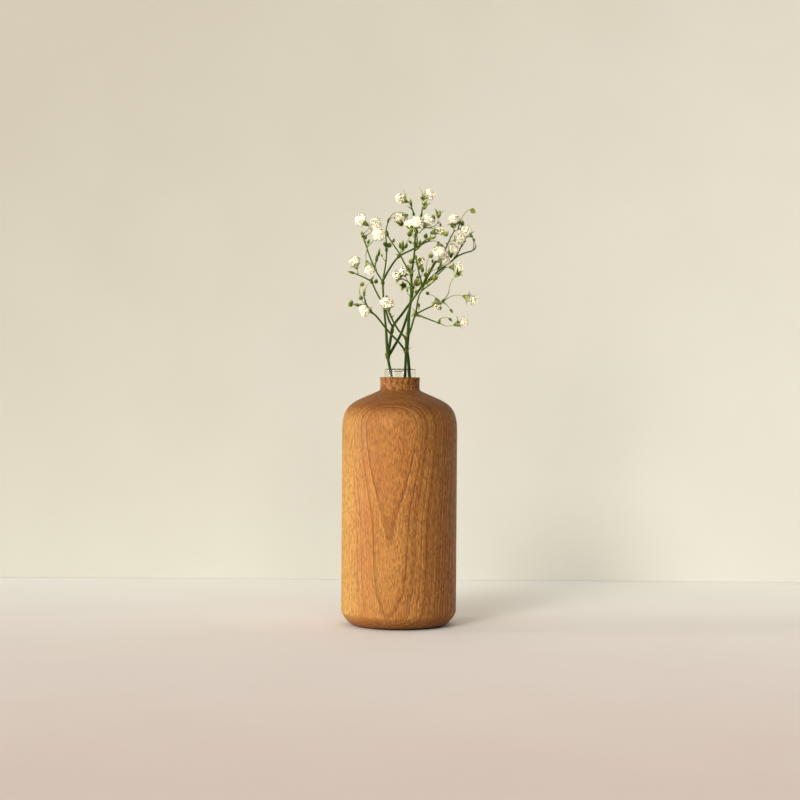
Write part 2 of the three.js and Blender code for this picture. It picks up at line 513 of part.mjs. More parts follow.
// One sprig: its green parts as one solid, and each white flower as a piece of its own in its calyx.
function sprig({ name, foot, main, shoots, bracts }) {
  const group = new THREE.Group();
  group.position.z = RIM_Z;
  const all = [shoot(STEM, [stemFoot(foot), main[0]]), shoot(STEM, main), ...shoots];
  const green = [swollenNode(main[0], { d: (STEM.d * KNEE_WIDTH) / NODE_SWELLING })];
  let blooms = 0;
  for (const grown of all) {
    green.push(shootSolid(grown));
    if (grown.size.jointed) green.push(swollenNode(grown.route.at(-1), grown.size));
    if (!grown.tip) continue;
    const curve = routeCurve(grown.route);
    const at = curve.getPoint(1);
    const direction = curve.getTangent(1);
    green.push(tipSolid(grown.tip, at, direction));
    if (grown.tip.kind === 'bloom') {
      blooms += 1;
      const flower = namedMesh(`${name}_bloom_${blooms}`, bloomGeometry(grown.tip.width), petalWhite);
      flower.position.copy(at).addScaledVector(direction, CALYX_L + SEAT_GAP);
      flower.quaternion.setFromUnitVectors(UP, direction);
      group.add(flower);
    }
  }
  for (const { at, along, length } of bracts) {
    green.push(toSolid(standing(bractGeometry(length), vector(at), vector(along).normalize())));
  }
  const solid = green.reduce((joined, piece) => joined.add(piece));
  group.add(namedMesh(`${name}_stem`, toGeometry(solid), stemGreen));
  return group;
}

const vase = new THREE.Group();
vase.add(woodenBody(), glassTube(), sprig(LEFT_SPRIG), sprig(CENTRE_SPRIG), sprig(RIGHT_SPRIG));

export default vase;
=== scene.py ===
"""Looks of a turned beech bud vase with a glass tube and three sprigs of double baby's breath.

Sizes are in millimetres and turned into metres where a mesh is made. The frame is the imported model's: +Z up, the
origin at the centre of the flat base, +X to the right and -Y towards the camera.
"""
import math

import bpy
import numpy as np
from mathutils import Matrix, Vector


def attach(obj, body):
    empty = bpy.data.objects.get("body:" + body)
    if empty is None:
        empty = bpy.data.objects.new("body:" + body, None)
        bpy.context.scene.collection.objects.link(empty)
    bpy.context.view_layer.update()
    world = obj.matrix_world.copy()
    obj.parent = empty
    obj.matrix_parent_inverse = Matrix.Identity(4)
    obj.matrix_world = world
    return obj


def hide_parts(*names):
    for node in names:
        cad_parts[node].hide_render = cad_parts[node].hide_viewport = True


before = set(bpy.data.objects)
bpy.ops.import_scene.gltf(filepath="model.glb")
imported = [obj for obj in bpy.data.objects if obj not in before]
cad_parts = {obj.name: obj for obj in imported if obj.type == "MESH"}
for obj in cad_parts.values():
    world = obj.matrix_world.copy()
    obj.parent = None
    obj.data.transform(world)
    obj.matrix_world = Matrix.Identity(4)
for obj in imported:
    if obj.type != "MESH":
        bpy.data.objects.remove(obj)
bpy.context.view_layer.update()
MM = 0.001

# Sizes of the vase

BODY_D = 60
BODY_H = 129
BASE_FLAT_D = 47
BASE_ROUND_H = 7.5
BASE_ROUND_FULLNESS = 0.3
NECK_D = 20.5
NECK_H = 5.6
NECK_LIP_D = 20.9
NECK_LIP_H = 2.4
NECK_LIP_HANDLE_H = 1.4
NECK_EDGE_R = 0.5
NECK_FILLET_R = 1.8
SHOULDER_SLOPE = math.radians(26)
SHOULDER_H = 20.5
SHOULDER_TOP_HANDLE = 13
SHOULDER_SIDE_HANDLE = 15
BORE_EDGE_R = 0.5
BODY_SIDES = 160
TUBE_D = 16
TUBE_L = 100
TUBE_WALL = 1
TUBE_PROUD = 4.4
BEAD_D = 16.5
BEAD_H = 1.8
TUBE_SIDES = 96
BORE_CLEARANCE = 0.5
SEAT_GAP = 0.3
RIM_Z = BODY_H + TUBE_PROUD
BORE_R = TUBE_D / 2 + BORE_CLEARANCE
TUBE_Z = RIM_Z - TUBE_L
BORE_FLOOR_Z = TUBE_Z - SEAT_GAP
TUBE_INNER_R = TUBE_D / 2 - TUBE_WALL


# Meshes from closed skins

def skin(rings, start, end, finish=None):
    """Closed shells as arrays. rings is (shells, rows, columns, 3); each row is a closed loop, and the rows run from
    the point start to the point end, both (shells, 3). Neighbouring rows are joined by quads, and the two points by
    fans. finish is one (shells, rows + 2, 3) table of surface values, from start through the rows to end. The faces
    are turned over where the shells' summed volume is negative."""
    shells, rows, columns, _ = rings.shape
    size = rows * columns + 2
    vertices = np.concatenate([rings.reshape(shells, rows * columns, 3), start[:, None], end[:, None]], axis=1)
    row, column = np.meshgrid(np.arange(rows - 1), np.arange(columns), indexing="ij")
    after = (column + 1) % columns
    quads = np.stack([row * columns + column, row * columns + after,
                      (row + 1) * columns + after, (row + 1) * columns + column], axis=-1).reshape(-1, 4)
    turn = np.arange(columns)
    following = (turn + 1) % columns
    last = (rows - 1) * columns
    fans = np.concatenate([
        np.stack([np.full(columns, size - 2), following, turn], axis=-1),
        np.stack([np.full(columns, size - 1), last + turn, last + following], axis=-1),
    ])
    first = (np.arange(shells) * size)[:, None, None]
    quads = (quads[None] + first).reshape(-1, 4)
    fans = (fans[None] + first).reshape(-1, 3)
    vertices = vertices.reshape(-1, 3)
    corners = np.concatenate([fans, quads[:, [0, 1, 2]], quads[:, [0, 2, 3]]])
    a, b, c = (vertices[corners[:, i]] for i in range(3))
    if np.einsum("ij,ij->i", a, np.cross(b, c)).sum() < 0:
        quads, fans = quads[:, ::-1], fans[:, ::-1]
    if finish is None:
        finish = np.zeros((shells, rows + 2, 3))
    inner = np.repeat(finish[:, 1:-1, None], columns, axis=2).reshape(shells, rows * columns, 3)
    values = np.concatenate([inner, finish[:, :1], finish[:, -1:]], axis=1).reshape(-1, 3)
    return vertices, quads, fans, values


def mesh_piece(name, body, material, skins, replaced):
    """One object from several skins given in millimetres, standing for the CAD nodes in replaced."""
    vertices, quads, fans, values = [], [], [], []
    count = 0
    for v, q, f, w in skins:
        vertices.append(v)
        quads.append(q + count)
        fans.append(f + count)
        values.append(w)
        count += len(v)
    vertices, quads, fans, values = (np.concatenate(x) for x in (vertices, quads, fans, values))
    mesh = bpy.data.meshes.new(name)
    mesh.vertices.add(len(vertices))
    mesh.vertices.foreach_set("co", (vertices * MM).astype(np.float32).ravel())
    mesh.loops.add(quads.size + fans.size)
    mesh.loops.foreach_set("vertex_index", np.concatenate([quads.ravel(), fans.ravel()]).astype(np.int32))
    mesh.polygons.add(len(quads) + len(fans))
    sizes = np.concatenate([np.full(len(quads), 4), np.full(len(fans), 3)])
    mesh.polygons.foreach_set("loop_start", np.concatenate([[0], np.cumsum(sizes)[:-1]]).astype(np.int32))
    mesh.polygons.foreach_set("use_smooth", np.ones(len(sizes), bool))
    mesh.update(calc_edges=True)
    mesh.validate()
    layer = mesh.attributes.new("finish", "FLOAT_COLOR", "POINT")
    colour = np.concatenate([values, np.ones((len(values), 1))], axis=1)
    layer.data.foreach_set("color", colour.astype(np.float32).ravel())
    mesh.materials.append(material)
    piece = bpy.data.objects.new(name, mesh)
    bpy.context.scene.collection.objects.link(piece)
    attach(piece, body)
    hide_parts(*replaced)


# Turned profiles

def line(start, end, steps):
    """Points on the straight from start to end, the last one left to the next curve."""
    t = np.linspace(0, 1, steps, endpoint=False)[:, None]
    return np.array(start) * (1 - t) + np.array(end) * t


def arc(centre, radius, start, end, steps):
    """Points centre + radius (cos a, sin a) for angles a, in degrees, from start up to but not including end."""
    a = np.radians(np.linspace(start, end, steps, endpoint=False))
    return np.array(centre) + radius * np.stack([np.cos(a), np.sin(a)], axis=-1)


def bezier(p0, p1, p2, p3, steps):
    """Points of the cubic Bezier curve (1-t)^3 p0 + 3(1-t)^2 t p1 + 3(1-t) t^2 p2 + t^3 p3, without its end."""
    t = np.linspace(0, 1, steps, endpoint=False)[:, None]
    p0, p1, p2, p3 = (np.array(p, float) for p in (p0, p1, p2, p3))
    return (1 - t) ** 3 * p0 + 3 * (1 - t) ** 2 * t * p1 + 3 * (1 - t) * t ** 2 * p2 + t ** 3 * p3


def lathe(profile, segments):
    """The profile's points (r, z) turned about Z: (r cos a, r sin a, z). Its first and last points lie on the axis."""
    a = np.linspace(0, 2 * np.pi, segments, endpoint=False)
    r, z = profile[1:-1, 0][:, None], profile[1:-1, 1][:, None]
    rings = np.stack([r * np.cos(a), r * np.sin(a), z + 0 * a], axis=-1)[None]
    poles = [np.array([[0, 0, profile[i, 1]]]) for i in (0, -1)]
    return skin(rings, *poles)


def body_profile():
    """The bottle's outline from the middle of the base, up the side and shoulder, over the rim and down the bore."""
    side, foot, neck, lip = BODY_D / 2, BASE_FLAT_D / 2, NECK_D / 2, NECK_LIP_D / 2
    fillet_z = BODY_H - NECK_H
    fillet_r = neck + NECK_FILLET_R * (1 - math.sin(SHOULDER_SLOPE))
    fillet_end = fillet_z - NECK_FILLET_R * math.cos(SHOULDER_SLOPE)
    side_top = fillet_end - SHOULDER_H
    in_handle = BASE_ROUND_FULLNESS * (side - foot)
    up_handle = BASE_ROUND_FULLNESS * BASE_ROUND_H
    shoulder = (fillet_r + SHOULDER_TOP_HANDLE * math.cos(SHOULDER_SLOPE),
                fillet_end - SHOULDER_TOP_HANDLE * math.sin(SHOULDER_SLOPE))
    return np.concatenate([
        line((0, 0), (foot, 0), 5),
        bezier((foot, 0), (foot + in_handle, 0), (side, BASE_ROUND_H - up_handle), (side, BASE_ROUND_H), 18),
        line((side, BASE_ROUND_H), (side, side_top), 40),
        bezier((side, side_top), (side, side_top + SHOULDER_SIDE_HANDLE), shoulder, (fillet_r, fillet_end), 36),
        arc((neck + NECK_FILLET_R, fillet_z), NECK_FILLET_R, 270 - math.degrees(SHOULDER_SLOPE), 180, 10),
        line((neck, fillet_z), (neck, BODY_H - NECK_LIP_H), 4),
        bezier((neck, BODY_H - NECK_LIP_H), (neck, BODY_H - NECK_LIP_HANDLE_H), (lip, BODY_H - NECK_LIP_HANDLE_H),
               (lip, BODY_H - NECK_EDGE_R), 6),
        arc((lip - NECK_EDGE_R, BODY_H - NECK_EDGE_R), NECK_EDGE_R, 0, 90, 8),
        line((lip - NECK_EDGE_R, BODY_H), (BORE_R + BORE_EDGE_R, BODY_H), 2),
        arc((BORE_R + BORE_EDGE_R, BODY_H - BORE_EDGE_R), BORE_EDGE_R, 90, 180, 6),
        line((BORE_R, BODY_H - BORE_EDGE_R), (BORE_R, BORE_FLOOR_Z), 24),
        line((BORE_R, BORE_FLOOR_Z), (0, BORE_FLOOR_Z), 4),
        [(0, BORE_FLOOR_Z)],
    ])


def tube_profile():
    """The glass from the middle of its round bottom, up outside, over the thickened rim and down inside."""
    outer, inner, bead = TUBE_D / 2, TUBE_INNER_R, BEAD_D / 2
    crown = (outer + inner) / 2
    middle = TUBE_L - BEAD_H / 2
    return np.concatenate([
        arc((0, outer), outer, -90, 0, 20),
        line((outer, outer), (outer, TUBE_L - BEAD_H), 12),
        bezier((outer, TUBE_L - BEAD_H), (bead, middle), (bead, TUBE_L), (crown, TUBE_L), 10),
        bezier((crown, TUBE_L), (inner, TUBE_L), (inner, TUBE_L), (inner, middle), 8),
        line((inner, middle), (inner, outer), 12),
        arc((0, outer), inner, 0, -90, 20),
        [(0, outer - inner)],
    ]) + (0, TUBE_Z)


# Shapes of the sprigs

# points to each span of a route
PER_SPAN = 9


def route_points(route):
    """A centripetal Catmull-Rom curve through the route's points. Each span is a cubic whose end slopes come from
    the neighbouring points, with every span weighted by the square root of its length. Past both ends the
    neighbour is the mirror image of the point before."""
    p = np.array(route, float)
    p = np.concatenate([2 * p[:1] - p[1:2], p, 2 * p[-1:] - p[-2:-1]])
    a, b, c, d = p[:-3], p[1:-2], p[2:-1], p[3:]
    w0, w1, w2 = (np.sqrt(np.linalg.norm(v, axis=1))[:, None] for v in (b - a, c - b, d - c))
    slope_b = ((b - a) / w0 - (c - a) / (w0 + w1) + (c - b) / w1) * w1
    slope_c = ((c - b) / w1 - (d - b) / (w1 + w2) + (d - c) / w2) * w1
    t = np.linspace(0, 1, PER_SPAN, endpoint=False)[None, :, None]
    b, c, slope_b, slope_c = (v[:, None] for v in (b, c, slope_b, slope_c))
    points = (b + slope_b * t + (3 * (c - b) - 2 * slope_b - slope_c) * t ** 2
              + (2 * (b - c) + slope_b + slope_c) * t ** 3)
    return np.concatenate([points.reshape(-1, 3), p[-2:-1]])


def unit(v):
    """Vectors brought to length one."""
    return v / np.linalg.norm(v, axis=-1, keepdims=True)


def side_frame(tangent, reference):
    """Two directions square to each tangent: its cross product with the reference, and the cross product of both."""
    across = unit(np.cross(tangent, reference))
    return across, np.cross(tangent, across)


# Sprigs. A surface value of green parts is (youth, scale, pale): youth runs from old dark stem to young shoot,
# scale is the dry brown of nodes and bract tips, and pale is petal or membrane. On petals it is (reach, blush, shade).

FIRST_SEED = 11
FULL_TURN = 6.28
STEM_CUT_D = 1.66
STEM_FOOT_GAP = 0.4
STEM_SIDES = 14
STEM_THINS = (0.7, 0.76)
STEM_TIP = 0.85
LIMB, BRANCH, TWIG, PEDICEL = "limb", "branch", "twig", "pedicel"
# each kind of shoot: its width at the thick and the thin end, its sides, and its youth at both ends
SHOOTS = {LIMB: (1.5, 1.15, 14, 0.15, 0.3), BRANCH: (1.12, 0.88, 12, 0.2, 0.45), TWIG: (0.88, 0.64, 10, 0.32, 0.6),
          PEDICEL: (0.5, 0.36, 8, 0.62, 0.95)}
SHOOT_END_SIZE = 0.6
SHOOT_END_CAP = 0.3
NODE_SWELLING = 0.42
NODE_LENGTH = 1.1
NODE_SCALE = 0.75
FORK_SWELLING = 0.16
FORK_LENGTH = 0.8
FORK_SCALE = 0.25
TOOTH_H = 0.45
LEAFLET_L = (1.2, 2.0)
LEAFLET_BROWN = (-0.2, 0.6)
LEAFLET_SPREAD = 0.55
LEAFLET_ROWS = 6
BRACT_ROWS = 9
# the points round a leaf's closed sheet: the face that each is on, front or back, and how far across it lies
SHEET_FACE = np.array([0, 1, 1, 1, 0, -1, -1, -1])
LEAF_ACROSS = np.array([-1, -0.5, 0, 0.5, 1, 0.5, 0, -0.5])
PETAL_ACROSS = np.array([-1, -0.6, 0, 0.6, 1, 0.6, 0, -0.6])
SEPAL_HALF_THICKNESS = 0.06
BRACT_HALF_THICKNESS = 0.055
PETAL_HALF_THICKNESS = 0.045
BRACT_CURL = 0.18
CALYX_L = 2.0
CALYX_SIZE = 1.1
CALYX_GROWTH = 0.35
SEPAL_L = 3.1
SEPAL_SPREAD = 66
SEPAL_BROWN = 0.4
STAR_SEPAL_L = 3.3
STAR_SIZE = 1.25
STAR_SPREAD = 30
BUD_LENGTHS = {"bud": 1.3, "pod": 2.0, "spear": 3.4}
BLOOM_SIT = 0.9
BLOOM_Z = CALYX_L + SEAT_GAP
BLOOM_CENTRE = 0.45
BLOOM_HALF_H = 0.53
HEART_CENTRE = 0.42
HEART_HALF_H = 0.4
HEART_R = 0.34
BLOOM_HEIGHT_RATIO = 0.68


def tube_skin(points, radius, sides, finish):
    """A round tube along the points. Each ring is the point plus radius times (cos a, sin a) in the plane square to
    the path. Both ends are rounded over by one smaller ring and closed at a pole."""
    tangent = unit(np.gradient(points, axis=0))
    reference = np.eye(3)[np.abs(tangent).sum(axis=0).argmin()]
    across, over = side_frame(tangent, reference)
    radius = radius.copy()
    radius[[0, -1]] *= SHOOT_END_SIZE
    a = np.linspace(0, 2 * np.pi, sides, endpoint=False)[None, :, None]
    rings = points[:, None] + radius[:, None, None] * (np.cos(a) * across[:, None] + np.sin(a) * over[:, None])
    start = points[:1] - tangent[:1] * radius[0] * SHOOT_END_CAP
    end = points[-1:] + tangent[-1:] * radius[-1] * SHOOT_END_CAP
    values = np.concatenate([finish[:1], finish, finish[-1:]])[None]
    return skin(rings[None], start, end, values)


def shoot_skin(kind, route):
    """One shoot. Its radius runs straight from the thick end to the thin end, widens by a bell curve of the distance
    from its last point where it ends in a node, and a little at its own fork."""
    thick, thin, sides, old, young = SHOOTS[kind]
    points = route_points(route)
    steps = np.linalg.norm(np.diff(points, axis=0), axis=1)
    along = np.concatenate([[0], np.cumsum(steps)])
    share = along / along[-1]
    swell = np.exp(-((along[-1] - along) / NODE_LENGTH) ** 2) if kind in (LIMB, BRANCH) else 0 * share
    fork = np.exp(-(along / FORK_LENGTH) ** 2)
    radius = (thick + (thin - thick) * share) / 2 * (1 + NODE_SWELLING * swell + FORK_SWELLING * fork)
    finish = np.stack([old + (young - old) * share, NODE_SCALE * swell + FORK_SCALE * fork, 0 * share], axis=-1)
    return tube_skin(points, radius, sides, finish)


def placed(points, at, direction, turn=0.0):
    """Points modelled standing on the origin along +Z, turned by an angle about Z, laid along a direction and moved
    to a place."""
    direction = Vector(direction).normalized()
    matrix = Vector((0, 0, 1)).rotation_difference(direction).to_matrix() @ Matrix.Rotation(turn, 3, "Z")
    return points @ np.array(matrix).T + np.array(at, float)


def standing_skin(profile, lobes, depth, columns, at, direction, turn, finish):
    """A turned cup or bud on a place and direction. profile is rows of (radius, height, lobe), the first and last on
    the axis. A row's radius is multiplied by 1 + depth lobe cos(lobes a), lobe counting as one at most, which makes
    ribs on the wall. Its height is raised by the same wave times what lobe is above one, which makes teeth."""
    profile = np.array(profile, float)
    a = np.linspace(0, 2 * np.pi, columns, endpoint=False)[None]
    r, z, lobe = (profile[1:-1, i][:, None] for i in range(3))
    wave = np.cos(lobes * a)
    radius = r * (1 + depth * np.minimum(lobe, 1) * wave)
    height = z + TOOTH_H * np.maximum(lobe - 1, 0) * wave
    rings = np.stack([radius * np.cos(a), radius * np.sin(a), height], axis=-1)
    poles = [placed(np.array([[0, 0, profile[i, 1]]]), at, direction) for i in (0, -1)]
    return skin(placed(rings, at, direction, turn)[None], *poles, np.array(finish, float)[None])


def calyx_skin(at, direction, turn, size):
    """A green cup with five teeth round the foot of a flower: the wall goes up outside and comes down inside."""
    profile = [(0, -0.45, 0), (0.42, -0.25, 0), (0.56, 0.1, 0.4), (0.82, 0.6, 0.8), (1.02, 1.1, 1),
               (1.14, 1.55, 1.5), (1.18, 1.8, 2.1), (1.08, 1.78, 2.0), (0.98, 1.5, 1.4), (0.86, 1.1, 1),
               (0.6, 0.7, 0.6), (0, 0.6, 0)]
    youth = [0.55, 0.6, 0.6, 0.65, 0.75, 0.85, 0.95, 0.95, 0.8, 0.6, 0.5, 0.5]
    pale = [0, 0, 0, 0, 0.05, 0.3, 0.75, 0.75, 0.4, 0.2, 0, 0]
    profile = [(size * radius, size * height, lobe) for radius, height, lobe in profile]
    return standing_skin(profile, 5, 0.1, 30, at, direction, turn, [(y, 0.1, p) for y, p in zip(youth, pale)])


def leaf_line(foot, bend, tip, v):
    """A leaf's middle line, the quadratic Bezier curve (1-v)^2 foot + 2 v (1-v) bend + v^2 tip, and its slope."""
    middle = (1 - v) ** 2 * foot + 2 * v * (1 - v) * bend + v ** 2 * tip
    return middle, unit((1 - v) * (bend - foot) + v * (tip - bend))


def around(azimuth, radial, across, upward):
    """Leaves turned about Z to their azimuths: (radial cos - across sin, radial sin + across cos, upward)."""
    ca, sa = np.cos(azimuth)[:, None, None], np.sin(azimuth)[:, None, None]
    return np.stack([radial * ca - across * sa, radial * sa + across * ca, upward], axis=-1)


def sepals_skin(at, direction, turn, size, length, spread, brown, rng):
    """Five pointed leaves round a cup. A leaf's middle line is a quadratic Bezier curve from the cup's rim, first along
    the axis, then out by the spread angle; its half width is a sine of the way along, and it is a closed sheet."""
    azimuth = 2 * np.pi * np.arange(5) / 5 + 0.15 * rng.standard_normal(5)
    length = length * (1 + 0.18 * rng.standard_normal(5)).clip(0.7, 1.35)[:, None, None]
    lean = np.radians(spread + 12 * rng.standard_normal(5))[:, None, None]
    v = np.linspace(0.03, 0.96, 8)[None, :, None]
    foot = size * np.array([0.78, 0.9])
    bend = foot + 0.5 * length * np.concatenate([np.sin(0.3 * lean), np.cos(0.3 * lean)], axis=-1)
    tip = foot + length * np.concatenate([np.sin(lean), np.cos(lean)], axis=-1)
    middle, slope = leaf_line(foot, bend, tip, v)
    half = size * (0.6 * np.sin(np.pi * v ** 0.7) ** 0.8 + 0.06 * (1 - v))
    off = SHEET_FACE * SEPAL_HALF_THICKNESS + 0.3 * half * np.abs(LEAF_ACROSS)
    rings = around(azimuth, middle[..., :1] - off * slope[..., 1:], half * LEAF_ACROSS,
                   middle[..., 1:] + off * slope[..., :1])
    start, end = rings[:, 0].mean(axis=1), around(azimuth, tip[..., :1], 0, tip[..., 1:])[:, 0, 0]
    share = np.concatenate([[0], v[0, :, 0], [1]])[None] + np.zeros((5, 1))
    finish = np.stack([0.5 + 0.5 * share, 0.05 + brown * share ** 2, 0.6 * share ** 3], axis=-1)
    return skin(*(placed(p, at, direction, turn) for p in (rings, start, end)), finish)


def bud_skin(shape, width, at, direction, turn, brown, rng):
    """A closed bud: an egg with five ribs, or a longer spindle. It is greener at its foot, pale at its point, and
    brown or pale all over as its tone is above or below nought."""
    length = width * BUD_LENGTHS[shape]
    heights = np.array([-0.1, -0.06, 0.02, 0.14, 0.28, 0.44, 0.6, 0.74, 0.86, 0.94, 1.0]) * 0.93
    radii = np.array([0, 0.2, 0.35, 0.46, 0.5, 0.48, 0.42, 0.33, 0.22, 0.12, 0])
    lobe = np.array([0, 0.3, 0.8, 1, 1, 1, 1, 0.9, 0.8, 0.4, 0])
    profile = np.stack([radii * width, heights * length, lobe], axis=-1)
    youth = 0.5 + 0.42 * np.clip(heights, 0, 1) + rng.uniform(-0.2, 0.15)
    dry = 0.05 + max(brown, 0) * (1 - 0.4 * np.clip(heights, 0, 1))
    pale = max(-brown, 0) * np.clip(heights * 2 - 0.5, 0, 1) + 0.5 * np.clip((heights - 0.66) * 4, 0, 1)
    finish = np.stack([youth, dry, np.clip(pale, 0, 0.9)], axis=-1)
    return standing_skin(profile, 5, 0.09, 20, at, direction, turn, finish)


def knot_skin(at, direction, width, length, brown):
    """A swollen joint on a stem: a spindle whose radius is a sine of the way along to the power 0.6."""
    v = np.linspace(0, 1, 11)
    profile = np.stack([width / 2 * np.sin(np.pi * v) ** 0.6, (v - 0.5) * length, 0.5 + 0 * v], axis=-1)
    profile[[0, -1], 0] = 0
    finish = np.stack([0.25 + 0.3 * v, max(brown, 0) * (1 - 0.8 * v), 0 * v], axis=-1)
    return standing_skin(profile, 4, 0.1, 14, at, unit(np.array(direction, float)), 0.0, finish)


def star_skins(at, direction, turn, brown, rng):
    """An open calyx whose flower has gone: a cup, five long leaves and the green seed pod standing in it."""
    pod = [(0, 0.3, 0), (0.34, 0.4, 0), (0.55, 0.8, 0), (0.6, 1.3, 0), (0.5, 1.9, 0), (0.28, 2.5, 0), (0, 2.9, 0)]
    return [calyx_skin(at, direction, turn, STAR_SIZE),
            sepals_skin(at, direction, turn, STAR_SIZE, STAR_SEPAL_L, STAR_SPREAD, brown, rng),
            standing_skin(pod, 5, 0.0, 12, at, direction, turn, [(0.6, 0.05 + 0.3 * brown, 0)] * len(pod))]


def bract_skin(at, direction, length, brown, rows=BRACT_ROWS):
    """A pointed scale leaf. Its half width is a sine of the way along, sharpened towards the point; it is folded
    along its middle rib, curls outwards with the square of the way along, and is a closed sheet a tenth thick."""
    width = 0.3 * length + 0.2
    direction = unit(np.array(direction, float))
    outward = direction * (1, 1, 0)
    size = np.linalg.norm(outward)
    outward = outward / size if size > 0.05 else np.array([0, -1.0, 0])
    across = unit(np.cross(direction, outward)) if size > 0.05 else np.array([1.0, 0, 0])
    back = np.cross(across, direction)
    v = np.linspace(0.02, 0.97, rows)[:, None]
    half = width / 2 * np.sin(np.pi * v ** 0.62) ** 0.9 + 0.06 * (1 - v)
    centre = np.array(at, float) + length * v[..., None] * direction + BRACT_CURL * length * v[..., None] ** 2 * back
    fold = (0.45 * half * np.abs(LEAF_ACROSS) + SHEET_FACE * BRACT_HALF_THICKNESS)[..., None]
    rings = centre + (half * LEAF_ACROSS)[..., None] * across - fold * back
    start = np.array([at], float)
    end = start + length * direction + BRACT_CURL * length * back
    share = np.concatenate([[0], v[:, 0], [1]])
    dry = max(brown, 0) * (0.4 + 0.6 * share ** 2)
    finish = np.stack([0.3 + 0.5 * share, dry, max(-brown, 0) + 0.3 * share ** 2], axis=-1)
    return skin(rings[None], start, end, finish[None])


# each whorl of a flower: its petals, and their angle from the axis in degrees, reach and width
WHORLS = [(7, 112, 1.0, 0.4), (9, 92, 1.0, 0.4), (9, 72, 0.98, 0.38), (8, 53, 0.97, 0.36), (7, 34, 0.96, 0.32),
          (4, 14, 0.93, 0.28)]


def heart_skin(width, at, direction, turn, age):
    """The crowded inner petals of a double flower as one ruffled ball: an ellipsoid whose radius waves with the
    angle round the axis and the angle from it."""
    height = width * BLOOM_HEIGHT_RATIO
    polar = np.linspace(0.12, np.pi - 0.12, 14)[::-1, None]
    a = np.linspace(0, 2 * np.pi, 36, endpoint=False)[None]
    swell = 1 + 0.07 * np.sin(9 * a + 5 * polar) + 0.05 * np.sin(13 * polar - 4 * a)
    radial = (HEART_R - 0.08 * age) * width * np.sin(polar) * swell
    upward = BLOOM_Z + height * (HEART_CENTRE + HEART_HALF_H * np.cos(polar) * swell)
    rings = np.stack([radial * np.cos(a), radial * np.sin(a), upward], axis=-1)
    poles = [np.array([[0, 0, BLOOM_Z + height * (HEART_CENTRE + HEART_HALF_H * c)]]) for c in (-1, 1)]
    finish = np.stack([np.linspace(0.35, 0.7, 16), 0.1 + np.zeros(16), 0.15 + 0.75 * age + np.zeros(16)], axis=-1)
    return skin(placed(rings, at, direction, turn)[None], *(placed(p, at, direction) for p in poles), finish[None])


def bloom_skin(width, at, direction, age, rng):
    """A double flower of 44 petals in six whorls. A whorl's petals end on an ellipsoid at an angle from the axis. Each
    petal's middle line is a quadratic Bezier curve from the foot, up beside the axis and over to its tip; its half
    width grows as a smooth step and narrows again at a blunt, notched tip; it is cupped by the square of the way
    across, crinkled by sine waves that grow towards the tip, and is a closed sheet."""
    count = np.array([w[0] for w in WHORLS])
    whorl = np.repeat(np.arange(len(WHORLS)), count)
    n = len(whorl)
    number = np.concatenate([np.arange(c) for c in count])
    azimuth = 2 * np.pi * (number + 0.5 * (whorl % 2)) / count[whorl] + 0.35 * rng.standard_normal(n) / 2
    _, angle, reach, breadth = np.array(WHORLS)[whorl].T
    tip_angle = np.radians(angle * (0.9 - 0.25 * age) + 7 * rng.standard_normal(n))
    reach = reach * (1 + 0.12 * rng.standard_normal(n)).clip(0.65, 1.03)
    breadth = (width * breadth * (1 + 0.1 * rng.standard_normal(n)).clip(0.75, 1.2))[:, None, None]
    height = width * BLOOM_HEIGHT_RATIO
    tip = np.stack([0.5 * width * (1 - 0.2 * age) * np.sin(tip_angle) * reach,
                    BLOOM_Z + BLOOM_CENTRE * height + BLOOM_HALF_H * height * np.cos(tip_angle) * reach], axis=-1)
    foot = np.stack([0.03 * width * np.ones(n), BLOOM_SIT * np.ones(n)], axis=-1)
    bend = np.stack([tip[:, 0] * 0.35, foot[:, 1] + 1.15 * (tip[:, 1] - foot[:, 1]) + 0.1 * height], axis=-1)
    v = np.linspace(0, 1, 8)[None, :, None]
    middle, slope = leaf_line(foot[:, None], bend[:, None], tip[:, None], v)
    grow, blunt = np.clip(v / 0.75, 0, 1), np.clip((v - 0.8) / 0.2, 0, 1)
    half = breadth / 2 * (0.16 + 0.84 * grow ** 2 * (3 - 2 * grow)) * (1 - 0.32 * blunt ** 2)
    u = PETAL_ACROSS
    phase = rng.uniform(0, 2 * np.pi, (2, n))[..., None, None]
    crinkle = 0.028 * width * (np.sin(2.6 * u + phase[0]) * v ** 2 + 0.5 * np.sin(7 * v + 3 * u + phase[1]) * v)
    off = 0.3 * half * u ** 2 + crinkle + SHEET_FACE * PETAL_HALF_THICKNESS * (1.2 - 0.6 * v)
    notch = -0.05 * width * (1 - np.abs(u)) * np.clip((v - 0.85) / 0.15, 0, 1)
    twist = np.radians(14) * rng.standard_normal(n)[:, None, None] * v
    radial = middle[..., :1] - off * slope[..., 1:] + notch * slope[..., :1] + half * u * np.sin(twist) * 0.5
    upward = middle[..., 1:] + off * slope[..., :1] + notch * slope[..., 1:]
    rings = around(azimuth, radial, half * u * np.cos(twist), upward)
    start = rings[:, 0].mean(axis=1) - (0, 0, 0.05)
    end = rings[:, -1].mean(axis=1)
    share = np.concatenate([[0], v[0, :, 0], [1]])[None]
    blush = rng.uniform(0, 1, n)[:, None] ** 2
    shade = 0.3 * rng.uniform(0, 1, n)[:, None] + 0.7 * age
    finish = np.stack([share + 0 * blush, blush * share, shade + 0 * share], axis=-1)
    turn = rng.uniform(0, 2 * np.pi)
    return skin(*(placed(p, at, direction, turn) for p in (rings, start, end)), finish)


# The routes of the sprigs: right, back and up from the centre of the tube's rim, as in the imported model.
# stem: widths inside and above the tube, youth at the foot and the top. A shoot: its kind and route, then the bud or
# flower at its end, with width, tone and where it faces. A bract: place, direction, length, brown. A knot: place,
# direction, width, length, brown.

